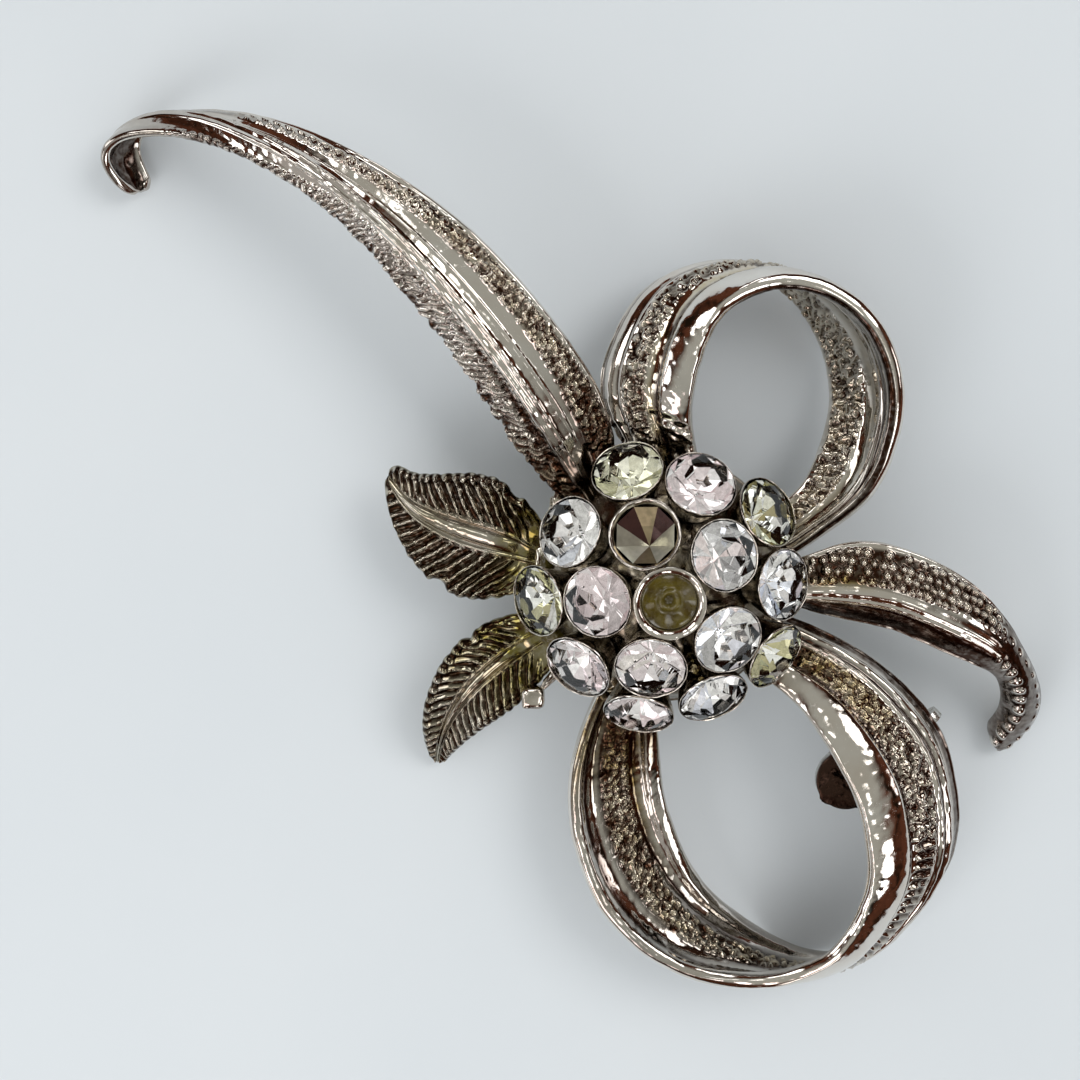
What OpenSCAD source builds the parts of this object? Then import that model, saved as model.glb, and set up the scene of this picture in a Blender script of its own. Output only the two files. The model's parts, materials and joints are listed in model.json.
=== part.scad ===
// Ribbon-bow spray brooch with a domed cluster of sixteen stone cups and a safety-catch pin.
// It lies face up. +X runs across the longest side, +Z is the face, and z = 0 is the table.
// Shapes are drawn about the middle of the cluster and then moved so that the origin is
// the centre of the brooch's footprint.

/* [Cluster] */
// Outside diameter of one stone cup
cup_d = 4.2; // [4.0:0.05:4.25]
// Height of one stone cup along its own axis
cup_h = 2.2; // [2.1:0.05:2.3]
// Diameter of one round stone
stone_d = 3.9; // [3.7:0.05:3.9]
// Radius of the sphere that the cup rims touch
rim_sphere_r = 10.2; // [10.2:0.1:10.6]
// Height of the middle cup's rim above the table
cluster_top = 12.5; // [12.3:0.1:12.7]
// Thickness of the dome that the cups are soldered to
dome_t = 0.8; // [0.6:0.1:1]

/* [Ribbons] */
// Thickness of a ribbon between its ridges
ribbon_t = 0.5; // [0.4:0.05:0.6]
// Height of the raised ridges along a ribbon
ridge_h = 0.3; // [0.1:0.05:0.35]
// Height of a ribbon's middle over the straight line between its edges
crown_h = 0.6; // [0.3:0.05:0.7]
// Thickness of a leaf
leaf_t = 0.5; // [0.4:0.05:0.6]
// Rings drawn between two stations of a ribbon
ring_steps = 4; // [3:1:5]

/* [Back] */
// Diameter of the round plate that closes the dome
hub_d = 15.2; // [15:0.1:15.6]
// Thickness of the round plate
hub_t = 0.8; // [0.6:0.05:0.9]
// Height of the back plane, where the pin bar meets the round plate
back_z = 4.4; // [4.4:0.1:4.5]
// Width of the pin bar
bar_w = 3; // [2.8:0.1:3.2]
// Thickness of the pin bar
bar_t = 0.8; // [0.6:0.05:0.8]

/* [Pin] */
// Diameter of the pin stem
pin_d = 0.8; // [0.7:0.05:0.8]
// Height of the pin's axis above the table
pin_z = 1.95; // [1.95:0.05:2]
// Running clearance of the rivet in the eye and of the barrel in its ring
run_gap = 0.05; // [0.03:0.01:0.08]
// Diameter of the hinge rivet
rivet_d = 0.8; // [0.6:0.05:0.8]
// Length of the thumb lever from the pin's axis
lever_l = 3.9; // [3.4:0.1:4]

/* [Hidden] */
$fn = 48;
// Distance that the whole drawing moves, so that the footprint is centred
mid_x = -5.1;
mid_y = 0.8;

// Cups: [azimuth, tilt] from the middle of the dome, with the middle cup first
inner_tilt = 24;
outer_tilt = 48;
between_tilt = 42;
cup_places = [
    [0, 0],
    [110, inner_tilt], [40, inner_tilt], [-34, inner_tilt], [-104, inner_tilt], [-179, inner_tilt],
    [108, outer_tilt], [74, between_tilt], [39, outer_tilt], [5, between_tilt], [-31, outer_tilt],
    [-66, between_tilt], [-102, outer_tilt], [-140, between_tilt], [-176, outer_tilt], [147, between_tilt]
];
// The middle cup has lost its stone down to the glue, and the next one keeps only the foil
glue_cup = 0;
foil_cup = 1;
stone_cups = [for (i = [2 : len(cup_places) - 1]) i];
function two_digits(n) = n < 10 ? str("0", n) : str(n);
CUPS = [for (i = [0 : len(cup_places) - 1]) str("cup_", two_digits(i + 1))];
STONES = [for (i = stone_cups) str("stone_", two_digits(i + 1))];

// Cup section, measured down from the rim
rim_h = 0.25;
girdle_drop = 0.15;
cup_foot_r = 1.3;
pit_foot_r = 0.35;
pit_drop = 1.75;
stone_table_r = 1.15;
stone_crown_h = 0.6;
stone_cone_h = 1.35;
seat_gap = 0.02;
dome_r = rim_sphere_r - cup_h;
dome_z = cluster_top - rim_sphere_r;

// Pin and catch, as distances along the pin from the point under the cluster
pin_at = [1.5, 1.5];
pin_turn = -45;
hinge_s = -10;
catch_s = 17.2;
catch_l = 2.3;
stem_end_s = 15.4;
stem_root_s = -8.4;
tip_s = 20;
eye_r = 1;
eye_w = 1.3;
ear_t = 0.5;
ear_r = 1.15;
ring_r = 1.65;
barrel_r = 1;
barrel_bore_r = 0.6;
barrel_flange_r = 1.3;
barrel_l = 2.9;
lever_w = 1.3;
lever_t = 0.6;
pad_r = 3.2;
tongue_r = 1.9;
tongue_y = 3;
slot_w = 1.1;
mouth_w = 1.3;

// Ribbon section: place across the ribbon from -1 to 1, and height as a share of ridge_h
ribbon_section = [
    [-1, 0], [-0.85, 0.9], [-0.6, 0.3], [-0.2, 0.4], [0.1, 1], [0.35, 0.5], [0.6, 0.3], [0.85, 1], [1, 0]
];
// Leaf section: a midrib and two plain blades
leaf_section = [
    [-1, 0], [-0.7, 0.4], [-0.35, 0.3], [-0.1, 0.4], [0, 1.2], [0.1, 0.4], [0.35, 0.3], [0.7, 0.4], [1, 0]
];

// Stations are [edge, opposite edge], from the hub outward. The ridged face is up where the
// first edge lies to the right of the run, seen from above.
long_tail_stations = [
    [[-2.7, 6.2, 5.8], [-5.2, 4.4, 5.6]],
    [[-3.2, 9.6, 6.6], [-7.4, 6.5, 6]],
    [[-4.4, 12.6, 7.4], [-9.2, 8.9, 6.8]],
    [[-7.5, 16.9, 8], [-11.8, 12.9, 7.3]],
    [[-11.4, 21, 8], [-15.2, 17.3, 7.6]],
    [[-16.3, 24.4, 7.3], [-18.2, 20.8, 7.4]],
    [[-22, 26.8, 5.2], [-22.2, 23.8, 6.8]],
    [[-27, 27.5, 2.4], [-26.5, 25.7, 5.4]],
    [[-30.5, 27.1, 0.8], [-30, 26.3, 4.4]],
    [[-31.9, 25.8, 0.3], [-32.9, 26, 3.8]],
    [[-31.1, 24.3, 0.3], [-33.6, 24.6, 3]],
    [[-30.7, 23.3, 0.5], [-31.9, 22.8, 2.1]]
];
upper_loop_stations = [
    [[2.2, 6.5, 5.8], [-1.8, 6.6, 5.6]],
    [[1.6, 9.2, 7], [-3, 9.4, 5.4]],
    [[1.5, 11.4, 8], [-4, 12, 5.4]],
    [[2.5, 15.1, 8.4], [-1.6, 17.1, 4.2]],
    [[3.9, 16.8, 8.3], [2.2, 18.7, 2.8]],
    [[6.3, 17.8, 8], [6.2, 18.2, 1]],
    [[8.7, 17.6, 7.6], [8.6, 16.4, 0.2]],
    [[11, 16.4, 7.4], [9.8, 14.4, 0.2]],
    [[12.7, 14.3, 7.3], [10.4, 12.6, 0.9]],
    [[13.6, 10.5, 7.1], [10.4, 10, 2.5]],
    [[12.6, 6, 6.6], [9.1, 6.8, 4.4]],
    [[11, 4.1, 6.3], [8, 5.4, 5.6]],
    [[7.2, 1.3, 6.1], [5.5, 3.7, 6.1]]
];
lower_loop_stations = [
    [[5, -4.9, 5.6], [6.6, -1.9, 5.5]],
    [[7.2, -6.6, 5.8], [9.8, -3.2, 5.5]],
    [[9, -8.5, 7.2], [13, -5, 5.5]],
    [[10.6, -11.2, 8], [16, -7.8, 5.5]],
    [[11.8, -13.8, 8.2], [17.8, -11, 5.3]],
    [[12.3, -18.3, 8.1], [18.3, -17.8, 4.4]],
    [[10.7, -22.3, 7.8], [14.3, -24.6, 1.7]],
    [[8.8, -23.8, 7.2], [10.6, -26, 0.4]],
    [[6.3, -24.8, 6.8], [7.2, -24.6, 0.2]],
    [[1.3, -24.7, 6], [2.8, -20.3, 2.3]],
    [[-3.3, -21.2, 5.7], [0.6, -15.4, 3.5]],
    [[-5.5, -15.4, 5.6], [-0.1, -11.7, 4.2]],
    [[-5.2, -10.2, 5.9], [-0.3, -8.9, 5.6]],
    [[-3.5, -6.2, 6.1], [-0.8, -6.5, 6.1]]
];
short_tail_stations = [
    [[6.7, -1.2, 5.8], [6.7, 0.9, 5.8]],
    [[9.1, -1.9, 5.9], [9, 1.8, 6.2]],
    [[11.1, -2.4, 6.1], [11, 2.7, 6.7]],
    [[13.9, -2.9, 6.3], [13.8, 2.4, 6.9]],
    [[17.4, -4.5, 6], [17.4, 0.7, 6.4]],
    [[19.6, -5.4, 5.5], [19.8, -1.4, 5.6]],
    [[21, -6.3, 4.9], [22.4, -5.2, 4]],
    [[21.4, -7.7, 4.2], [23.5, -7.5, 2.6]],
    [[21.4, -9, 3.2], [23.7, -9.4, 1.6]],
    [[20.8, -10.6, 1.4], [21.9, -12, 0.2]]
];
// Leaf stations are [edge, midrib, opposite edge], from the hub to the tip
upper_leaf_stations = [
    [[-6.5, 2.4, 5.8], [-6.9, 1, 5.6], [-6.9, -0.2, 5.7]],
    [[-7.8, 4.6, 6.6], [-9.4, 1.3, 5.4], [-9.3, -0.9, 5.9]],
    [[-9.8, 6.5, 6.8], [-11.5, 2.3, 5.1], [-12, -1.4, 5.2]],
    [[-12.6, 6.6, 6.2], [-13.6, 3.5, 4.8], [-14.6, 0.2, 4.4]],
    [[-14.8, 6.3, 5.4], [-15.4, 4.8, 4.5], [-16.3, 2.8, 4]],
    [[-16.2, 7, 4.8], [-16.5, 6.3, 4.3], [-16.8, 5.4, 4.2]]
];
lower_leaf_stations = [
    [[-7.1, -1.6, 5.8], [-6.7, -3, 5.6], [-5.9, -4.2, 5.7]],
    [[-10.4, -2.3, 6], [-8.5, -4.6, 5.3], [-7.4, -6.4, 5.8]],
    [[-12.7, -4.1, 5.6], [-10.5, -6.6, 4.6], [-9.2, -8.2, 5.3]],
    [[-14.3, -7.2, 4.6], [-12.1, -8.6, 3.6], [-11, -9.6, 4.3]],
    [[-14.7, -10, 3.3], [-13.3, -10.8, 2.4], [-12.5, -11.2, 3]],
    [[-14.3, -12.4, 0.8], [-13.9, -12.7, 0.4], [-13.4, -12.7, 0.6]]
];

// Point on the smooth curve between b and c, with a and d as the neighbours
function curve(a, b, c, d, t) =
    0.5 * (2 * b + (c - a) * t + (2 * a - 5 * b + 4 * c - d) * t * t + (3 * b - a - 3 * c + d) * t * t * t);
function neighbour(p, i) =
    i < 0 ? 2 * p[0] - p[1] :
    i >= len(p) ? 2 * p[len(p) - 1] - p[len(p) - 2] :
    p[i];
function smooth(p, steps) = concat(
    [for (i = [0 : len(p) - 2]) for (k = [0 : steps - 1])
        curve(neighbour(p, i - 1), p[i], p[i + 1], neighbour(p, i + 2), k / steps)],
    [p[len(p) - 1]]
);
function rail(stations, side, steps) = smooth([for (s = stations) s[side]], steps);
function unit(v) = v / norm(v);

// One ring of a ribbon or leaf: the face's points and then the back's, returning
function ring(a, b, mid, run, section, ridge, t) =
    let (across = (a - b) / 2)
    let (centre = (a + b) / 2)
    let (up = unit(cross(across, run)))
    let (rise = (mid - centre) * up)
    concat(
        [for (p = section) centre + across * p[0] + up * (rise * (1 - p[0] * p[0]) + ridge * p[1] + t / 2)],
        [for (k = [len(section) - 1 : -1 : 0])
            let (v = section[k][0])
            centre + across * v + up * (rise * (1 - v * v) - t / 2)]
    );

// Closed skin over rings that all have the same number of points
module skin(rings) {
    n = len(rings[0]);
    h = n / 2;
    last = len(rings) - 1;
    sides = [
        for (i = [0 : last - 1]) for (k = [0 : n - 1])
            let (p = i * n + k)
            let (q = i * n + (k + 1) % n)
            each [[p, q + n, q], [p, p + n, q + n]]
    ];
    first_cap = [
        for (k = [0 : h - 2]) each [[k, k + 1, n - 2 - k], [k, n - 2 - k, n - 1 - k]]
    ];
    end = last * n;
    last_cap = [
        for (k = [0 : h - 2])
            each [[end + k, end + n - 2 - k, end + k + 1], [end + k, end + n - 1 - k, end + n - 2 - k]]
    ];
    corners = [for (r = rings) each r];
    polyhedron(points = corners, faces = concat(sides, first_cap, last_cap), convexity = 8);
}

// Direction of a rail's run at ring i
function run_at(p, i) = p[min(i + 1, len(p) - 1)] - p[max(i - 1, 0)];

module ribbon(stations) {
    a = rail(stations, 0, ring_steps);
    b = rail(stations, 1, ring_steps);
    c = (a + b) / 2;
    skin([
        for (i = [0 : len(a) - 1])
            let (run = run_at(c, i))
            let (up = unit(cross(a[i] - b[i], run)))
            ring(a[i], b[i], c[i] + up * crown_h, run, ribbon_section, ridge_h, ribbon_t)
    ]);
}

module leaf(stations) {
    a = rail(stations, 0, ring_steps);
    m = rail(stations, 1, ring_steps);
    b = rail(stations, 2, ring_steps);
    skin([for (i = [0 : len(a) - 1]) ring(a[i], b[i], m[i], run_at(m, i), leaf_section, ridge_h, leaf_t)]);
}

// Moves the drawing so that the footprint is centred on the origin
module placed() {
    translate([-mid_x, -mid_y, 0]) children();
}

// Frame of one cup: the middle of its rim, with z along the cup's axis
module at_cup(i) {
    placed()
        translate([0, 0, dome_z])
            rotate([0, cup_places[i][1], cup_places[i][0]])
                translate([0, 0, rim_sphere_r]) children();
}

// Frame of the pin: x along the pin to its tip, y across, on the pin's axis
module at_pin() {
    placed()
        translate([pin_at[0], pin_at[1], pin_z])
            rotate([0, 0, pin_turn]) children();
}

// Cylinder along the pin from s0 to s1
module along(s0, s1, r0, r1) {
    translate([s0, 0, 0]) rotate([0, 90, 0]) cylinder(h = s1 - s0, r1 = r0, r2 = r1);
}

// Cylinder across the pin at the hinge
module across_hinge(r, w) {
    translate([hinge_s, w / 2, 0]) rotate([90, 0, 0]) cylinder(h = w, r = r);
}

module long_tail() {
    color("silver") placed() ribbon(long_tail_stations);
}

module upper_loop() {
    color("silver") placed() ribbon(upper_loop_stations);
}

module lower_loop() {
    color("silver") placed() ribbon(lower_loop_stations);
}

module short_tail() {
    color("silver") placed() ribbon(short_tail_stations);
}

module upper_leaf() {
    color("darkkhaki") placed() leaf(upper_leaf_stations);
}

module lower_leaf() {
    color("darkkhaki") placed() leaf(lower_leaf_stations);
}

module hub_plate() {
    color("gray") placed() translate([0, 0, back_z]) cylinder(h = hub_t, d = hub_d);
}

module dome_base() {
    color("gray") placed() difference() {
        translate([0, 0, dome_z]) sphere(r = dome_r);
        translate([0, 0, dome_z]) sphere(r = dome_r - dome_t);
        translate([0, 0, back_z + hub_t - 10]) cube([40, 40, 20], center = true);
    }
}

// Square lug that stands out from the dome beside the lower leaf
module side_lug() {
    lug = 1.4;
    color("silver") placed() union() {
        translate([-7.8, -7.1, 6]) rotate([0, 0, 20]) cube([lug, lug, lug], center = true);
        translate([-6.4, -5.6, 6]) rotate([0, 0, 47]) cube([2.6, 0.6, 0.6], center = true);
    }
}

// Grain of metal that fills the gap between three cups
module filler_bead() {
    bead_r = 0.4;
    color("darkgoldenrod") placed() translate([0, 0, dome_z]) rotate([0, 27.5, -69]) union() {
        translate([0, 0, dome_r - 0.1]) cylinder(h = 1.5, r = 0.2);
        translate([0, 0, dome_r + 1.5]) sphere(r = bead_r);
    }
}

// Stone cup with a conical pit and a foot that follows the dome
module cup(i) {
    rim_r = stone_d / 2 + seat_gap;
    foot_z = -cup_h - 0.12;
    color("silver") at_cup(i) difference() {
        rotate_extrude() polygon([
            [0, foot_z], [cup_foot_r, foot_z], [cup_d / 2, -rim_h], [cup_d / 2, 0],
            [rim_r, 0], [rim_r, -girdle_drop - seat_gap], [pit_foot_r, -pit_drop], [0, -pit_drop]
        ]);
        translate([0, 0, -rim_sphere_r]) sphere(r = dome_r + 0.01);
    }
}

module stone(i) {
    r = stone_d / 2;
    color("lavender", 0.6) at_cup(i) translate([0, 0, -girdle_drop]) rotate_extrude() polygon([
        [0, -stone_cone_h], [r, 0], [r, 0.08], [stone_table_r, stone_crown_h], [0, stone_crown_h]
    ]);
}

// Eight-sided foil cone left behind in the cup whose stone is gone
module foil_back() {
    foil_r = stone_d / 2 - 0.05;
    color("peru") at_cup(foil_cup) translate([0, 0, -girdle_drop - 1.4]) difference() {
        cylinder(h = 1.3, r1 = 0.1, r2 = foil_r - 0.1, $fn = 8);
        translate([0, 0, 0.15]) cylinder(h = 1.31, r1 = 0.1, r2 = foil_r - 0.1, $fn = 8);
    }
}

// Ring of old glue at the bottom of the empty cup
module glue_residue() {
    color("olive") at_cup(glue_cup) translate([0, 0, -pit_drop]) difference() {
        cylinder(h = 0.8, r1 = pit_foot_r - 0.05, r2 = 1.05);
        translate([0, 0, 0.4]) cylinder(h = 0.5, r1 = 0.35, r2 = 0.6);
    }
}

// Stamped bar with two ears at the hinge, and a round pad with a side tongue at the catch
module pin_bar() {
    bar_low = back_z - bar_t - pin_z;
    bar_s0 = hinge_s - 1.3;
    color("lightgray") at_pin() difference() {
        union() {
            translate([bar_s0, -bar_w / 2, bar_low]) cube([catch_s - bar_s0, bar_w, bar_t]);
            translate([catch_s, 0, bar_low]) cylinder(h = bar_t, r = pad_r);
            translate([catch_s - tongue_r, -tongue_y, bar_low]) cube([2 * tongue_r, tongue_y, bar_t]);
            translate([catch_s, -tongue_y, bar_low]) cylinder(h = bar_t, r = tongue_r);
            for (side = [-1, 1]) translate([0, side * (eye_w + ear_t + 0.1) / 2, 0]) {
                across_hinge(ear_r, ear_t);
                translate([hinge_s - ear_r, -ear_t / 2, 0]) cube([2 * ear_r, ear_t, bar_low + 0.1]);
            }
        }
        across_hinge(rivet_d / 2, 8);
    }
}

// Split ring that holds the turning barrel, open towards the table
module catch_ring() {
    foot_w = 2.2;
    bar_low = back_z - bar_t - pin_z;
    color("lightgray") at_pin() difference() {
        union() {
            along(catch_s - catch_l / 2, catch_s + catch_l / 2, ring_r, ring_r);
            translate([catch_s - catch_l / 2, -foot_w / 2, 0]) cube([catch_l, foot_w, bar_low]);
        }
        along(catch_s - catch_l, catch_s + catch_l, barrel_r + run_gap, barrel_r + run_gap);
        translate([catch_s - catch_l, -mouth_w / 2, -4]) cube([2 * catch_l, mouth_w, 4]);
    }
}

module hinge_rivet() {
    head_r = 0.7;
    head_t = 0.25;
    grip = eye_w + 2 * ear_t + 0.1;
    color("gray") at_pin() union() {
        across_hinge(rivet_d / 2, grip);
        for (side = [-1, 1]) translate([0, side * (grip + head_t) / 2, 0]) across_hinge(head_r, head_t);
    }
}

// Stem with its eye round the rivet and a sharp tip past the catch
module pin_stem() {
    r = pin_d / 2;
    tip_start_s = 18.3;
    color("whitesmoke") at_pin() difference() {
        union() {
            across_hinge(eye_r, eye_w);
            along(hinge_s + 0.5, stem_root_s, 0.62, r);
            along(stem_root_s, stem_end_s, r, r);
            along(stem_end_s, tip_start_s, r, r - 0.08);
            along(tip_start_s, tip_s, r - 0.08, 0.03);
        }
        across_hinge(rivet_d / 2 + run_gap, 4);
    }
}

// Slotted barrel that turns in the ring and shuts the pin in, with its thumb lever
module lock_barrel() {
    s0 = catch_s - barrel_l / 2;
    s1 = catch_s + barrel_l / 2;
    flange_t = 0.25;
    lever_s = s1 - flange_t;
    lever_end = lever_l - lever_w / 2;
    color("lightgray") at_pin() difference() {
        union() {
            along(s0, s1, barrel_r, barrel_r);
            along(s0, s0 + flange_t, barrel_flange_r, barrel_flange_r);
            along(lever_s, lever_s + lever_t, barrel_flange_r, barrel_flange_r);
            translate([lever_s, 0, -lever_w / 2]) cube([lever_t, lever_end, lever_w]);
            translate([0, lever_end, 0]) along(lever_s, lever_s + lever_t, lever_w / 2, lever_w / 2);
        }
        along(s0 - 1, s1 + 1, barrel_bore_r, barrel_bore_r);
        translate([s0 - 1, -slot_w / 2, -4]) cube([barrel_l + 3, slot_w, 4]);
    }
}

long_tail();
upper_loop();
lower_loop();
short_tail();
upper_leaf();
lower_leaf();
hub_plate();
dome_base();
side_lug();
filler_bead();
for (i = [0 : len(CUPS) - 1]) cup(i);
for (i = [0 : len(STONES) - 1]) stone(stone_cups[i]);
foil_back();
glue_residue();
pin_bar();
catch_ring();
hinge_rivet();
pin_stem();
lock_barrel();
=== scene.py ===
"""Ribbon-bow spray brooch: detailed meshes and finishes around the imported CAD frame."""

import json
import math

import bmesh
import bpy
import numpy as np
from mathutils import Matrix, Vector


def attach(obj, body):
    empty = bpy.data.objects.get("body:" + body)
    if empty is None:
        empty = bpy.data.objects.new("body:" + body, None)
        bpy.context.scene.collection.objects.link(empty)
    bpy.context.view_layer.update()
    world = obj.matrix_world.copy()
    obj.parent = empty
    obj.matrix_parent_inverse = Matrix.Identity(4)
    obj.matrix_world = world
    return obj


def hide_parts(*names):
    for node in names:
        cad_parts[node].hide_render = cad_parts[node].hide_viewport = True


MM = 0.001
# The shapes are drawn about the middle of the cluster, in mm. This moves them to the frame's origin
ORIGIN_SHIFT = np.array([5.1, -0.8, 0.0])

# ---- stations, as in the CAD part

# Each row holds the points across one station, as x, y, z after x, y, z
LONG_TAIL = [
    [-2.7, 6.2, 5.8, -5.2, 4.4, 5.6], [-3.2, 9.6, 6.6, -7.4, 6.5, 6], [-4.4, 12.6, 7.4, -9.2, 8.9, 6.8],
    [-7.5, 16.9, 8, -11.8, 12.9, 7.3], [-11.4, 21, 8, -15.2, 17.3, 7.6],
    [-16.3, 24.4, 7.3, -18.2, 20.8, 7.4], [-22, 26.8, 5.2, -22.2, 23.8, 6.8],
    [-27, 27.5, 2.4, -26.5, 25.7, 5.4], [-30.5, 27.1, 0.8, -30, 26.3, 4.4],
    [-31.9, 25.8, 0.3, -32.9, 26, 3.8], [-31.1, 24.3, 0.3, -33.6, 24.6, 3],
    [-30.7, 23.3, 0.5, -31.9, 22.8, 2.1],
]
UPPER_LOOP = [
    [2.2, 6.5, 5.8, -1.8, 6.6, 5.6], [1.6, 9.2, 7, -3, 9.4, 5.4], [1.5, 11.4, 8, -4, 12, 5.4],
    [2.5, 15.1, 8.4, -1.6, 17.1, 4.2], [3.9, 16.8, 8.3, 2.2, 18.7, 2.8], [6.3, 17.8, 8, 6.2, 18.2, 1],
    [8.7, 17.6, 7.6, 8.6, 16.4, 0.2], [11, 16.4, 7.4, 9.8, 14.4, 0.2],
    [12.7, 14.3, 7.3, 10.4, 12.6, 0.9], [13.6, 10.5, 7.1, 10.4, 10, 2.5], [12.6, 6, 6.6, 9.1, 6.8, 4.4],
    [11, 4.1, 6.3, 8, 5.4, 5.6], [7.2, 1.3, 6.1, 5.5, 3.7, 6.1],
]
LOWER_LOOP = [
    [5, -4.9, 5.6, 6.6, -1.9, 5.5], [7.2, -6.6, 5.8, 9.8, -3.2, 5.5], [9, -8.5, 7.2, 13, -5, 5.5],
    [10.6, -11.2, 8, 16, -7.8, 5.5], [11.8, -13.8, 8.2, 17.8, -11, 5.3],
    [12.3, -18.3, 8.1, 18.3, -17.8, 4.4], [10.7, -22.3, 7.8, 14.3, -24.6, 1.7],
    [8.8, -23.8, 7.2, 10.6, -26, 0.4], [6.3, -24.8, 6.8, 7.2, -24.6, 0.2],
    [1.3, -24.7, 6, 2.8, -20.3, 2.3], [-3.3, -21.2, 5.7, 0.6, -15.4, 3.5],
    [-5.5, -15.4, 5.6, -0.1, -11.7, 4.2], [-5.2, -10.2, 5.9, -0.3, -8.9, 5.6],
    [-3.5, -6.2, 6.1, -0.8, -6.5, 6.1],
]
SHORT_TAIL = [
    [6.7, -1.2, 5.8, 6.7, 0.9, 5.8], [9.1, -1.9, 5.9, 9, 1.8, 6.2], [11.1, -2.4, 6.1, 11, 2.7, 6.7],
    [13.9, -2.9, 6.3, 13.8, 2.4, 6.9], [17.4, -4.5, 6, 17.4, 0.7, 6.4],
    [19.6, -5.4, 5.5, 19.8, -1.4, 5.6], [21, -6.3, 4.9, 22.4, -5.2, 4],
    [21.4, -7.7, 4.2, 23.5, -7.5, 2.6], [21.4, -9, 3.2, 23.7, -9.4, 1.6],
    [20.8, -10.6, 1.4, 21.9, -12, 0.2],
]
UPPER_LEAF = [
    [-6.5, 2.4, 5.8, -6.9, 1, 5.6, -6.9, -0.2, 5.7], [-7.8, 4.6, 6.6, -9.4, 1.3, 5.4, -9.3, -0.9, 5.9],
    [-9.8, 6.5, 6.8, -11.5, 2.3, 5.1, -12, -1.4, 5.2],
    [-12.6, 6.6, 6.2, -13.6, 3.5, 4.8, -14.6, 0.2, 4.4],
    [-14.8, 6.3, 5.4, -15.4, 4.8, 4.5, -16.3, 2.8, 4],
    [-16.2, 7, 4.8, -16.5, 6.3, 4.3, -16.8, 5.4, 4.2],
]
LOWER_LEAF = [
    [-7.1, -1.6, 5.8, -6.7, -3, 5.6, -5.9, -4.2, 5.7],
    [-10.4, -2.3, 6, -8.5, -4.6, 5.3, -7.4, -6.4, 5.8],
    [-12.7, -4.1, 5.6, -10.5, -6.6, 4.6, -9.2, -8.2, 5.3],
    [-14.3, -7.2, 4.6, -12.1, -8.6, 3.6, -11, -9.6, 4.3],
    [-14.7, -10, 3.3, -13.3, -10.8, 2.4, -12.5, -11.2, 3],
    [-14.3, -12.4, 0.8, -13.9, -12.7, 0.4, -13.4, -12.7, 0.6],
]

# ---- numbers: noise and profiles


def ease(t):
    return t * t * (3 - 2 * t)


def blend(a, b, share):
    return a * (1 - share) + b * share


def smoothstep(x, lo, hi):
    """0 below lo, 1 above hi, and smooth between; hi may be below lo."""
    return ease(np.clip((x - lo) / (hi - lo), 0, 1))


def bump(x, middle, half_width):
    """A smooth hill of height 1 at middle that reaches 0 at half_width from it."""
    return ease(np.clip(1 - np.abs(x - middle) / half_width, 0, 1))


def bumps(x, *hills):
    """The sum of hills, each given as (height, middle, half_width)."""
    return sum(height * bump(x, middle, half_width) for height, middle, half_width in hills)


def within(v, lo, hi, soft=0.05):
    """1 between lo and hi, with soft edges."""
    return smoothstep(v, lo - soft, lo + soft) * (1 - smoothstep(v, hi - soft, hi + soft))


def round_top(d2):
    """Height of a ball of radius 1 at the squared distance d2 from its middle."""
    return np.sqrt(np.clip(1 - d2, 0, 1))


def off_middle(turn):
    """How far each place is from the middle of its whole turn, in turns."""
    return turn - np.floor(turn) - 0.5


def ridge(turn):
    """1 in the middle of each turn and 0 between turns, in straight lines."""
    return 1 - 2 * np.abs(off_middle(turn))


def hash_grid(ix, iy, seed):
    """A repeatable number from 0 to 1 for each whole-number place."""
    n = np.sin(ix * 127.1 + iy * 311.7 + seed * 74.7) * 43758.5453
    return n - np.floor(n)


def noise(x, y, seed):
    """Smooth value noise from -1 to 1, with features about 1 unit wide."""
    x0, y0 = np.floor(x), np.floor(y)
    fx, fy = ease(x - x0), ease(y - y0)
    a = hash_grid(x0, y0, seed)
    b = hash_grid(x0 + 1, y0, seed)
    c = hash_grid(x0, y0 + 1, seed)
    d = hash_grid(x0 + 1, y0 + 1, seed)
    return 2 * blend(blend(a, b, fx), blend(c, d, fx), fy) - 1


def mottle(x, y, size, seed):
    """Noise with features about size wide."""
    return noise(x / size, y / size, seed)


def grains(x, y, seed, share, stray=0.3, least=0.38):
    """Rounded beads in offset rows, each up to stray off its place: 0 between them and 1 on top."""
    y0 = np.floor(y)
    x = x + 0.5 * (y0 % 2)
    x0 = np.floor(x)
    best = np.zeros(np.broadcast(x, y).shape)
    for dx in (-1, 0, 1):
        for dy in (-1, 0, 1):
            cx, cy = x0 + dx, y0 + dy
            px = cx + 0.5 + stray * (2 * hash_grid(cx, cy, seed) - 1) + 0.5 * (y0 % 2 - cy % 2)
            py = cy + 0.5 + stray * (2 * hash_grid(cx, cy, seed + 1) - 1)
            size = least + 0.2 * hash_grid(cx, cy, seed + 2)
            there = hash_grid(cx, cy, seed + 3) < share
            best = np.maximum(best, round_top(((x - px) ** 2 + (y - py) ** 2) / size**2) * there)
    return best


def catmull(points, places):
    """Points on the smooth curve through points at each place, counted in stations."""
    p = np.asarray(points, float)
    p = np.vstack([2 * p[0] - p[1], p, 2 * p[-1] - p[-2]])
    i = np.clip(places.astype(int), 0, len(points) - 2)
    t = (places - i)[:, None]
    a, b, c, d = p[i], p[i + 1], p[i + 2], p[i + 3]
    return 0.5 * (
        2 * b + (c - a) * t + (2 * a - 5 * b + 4 * c - d) * t**2 + (3 * b - a - 3 * c + d) * t**3
    )


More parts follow.
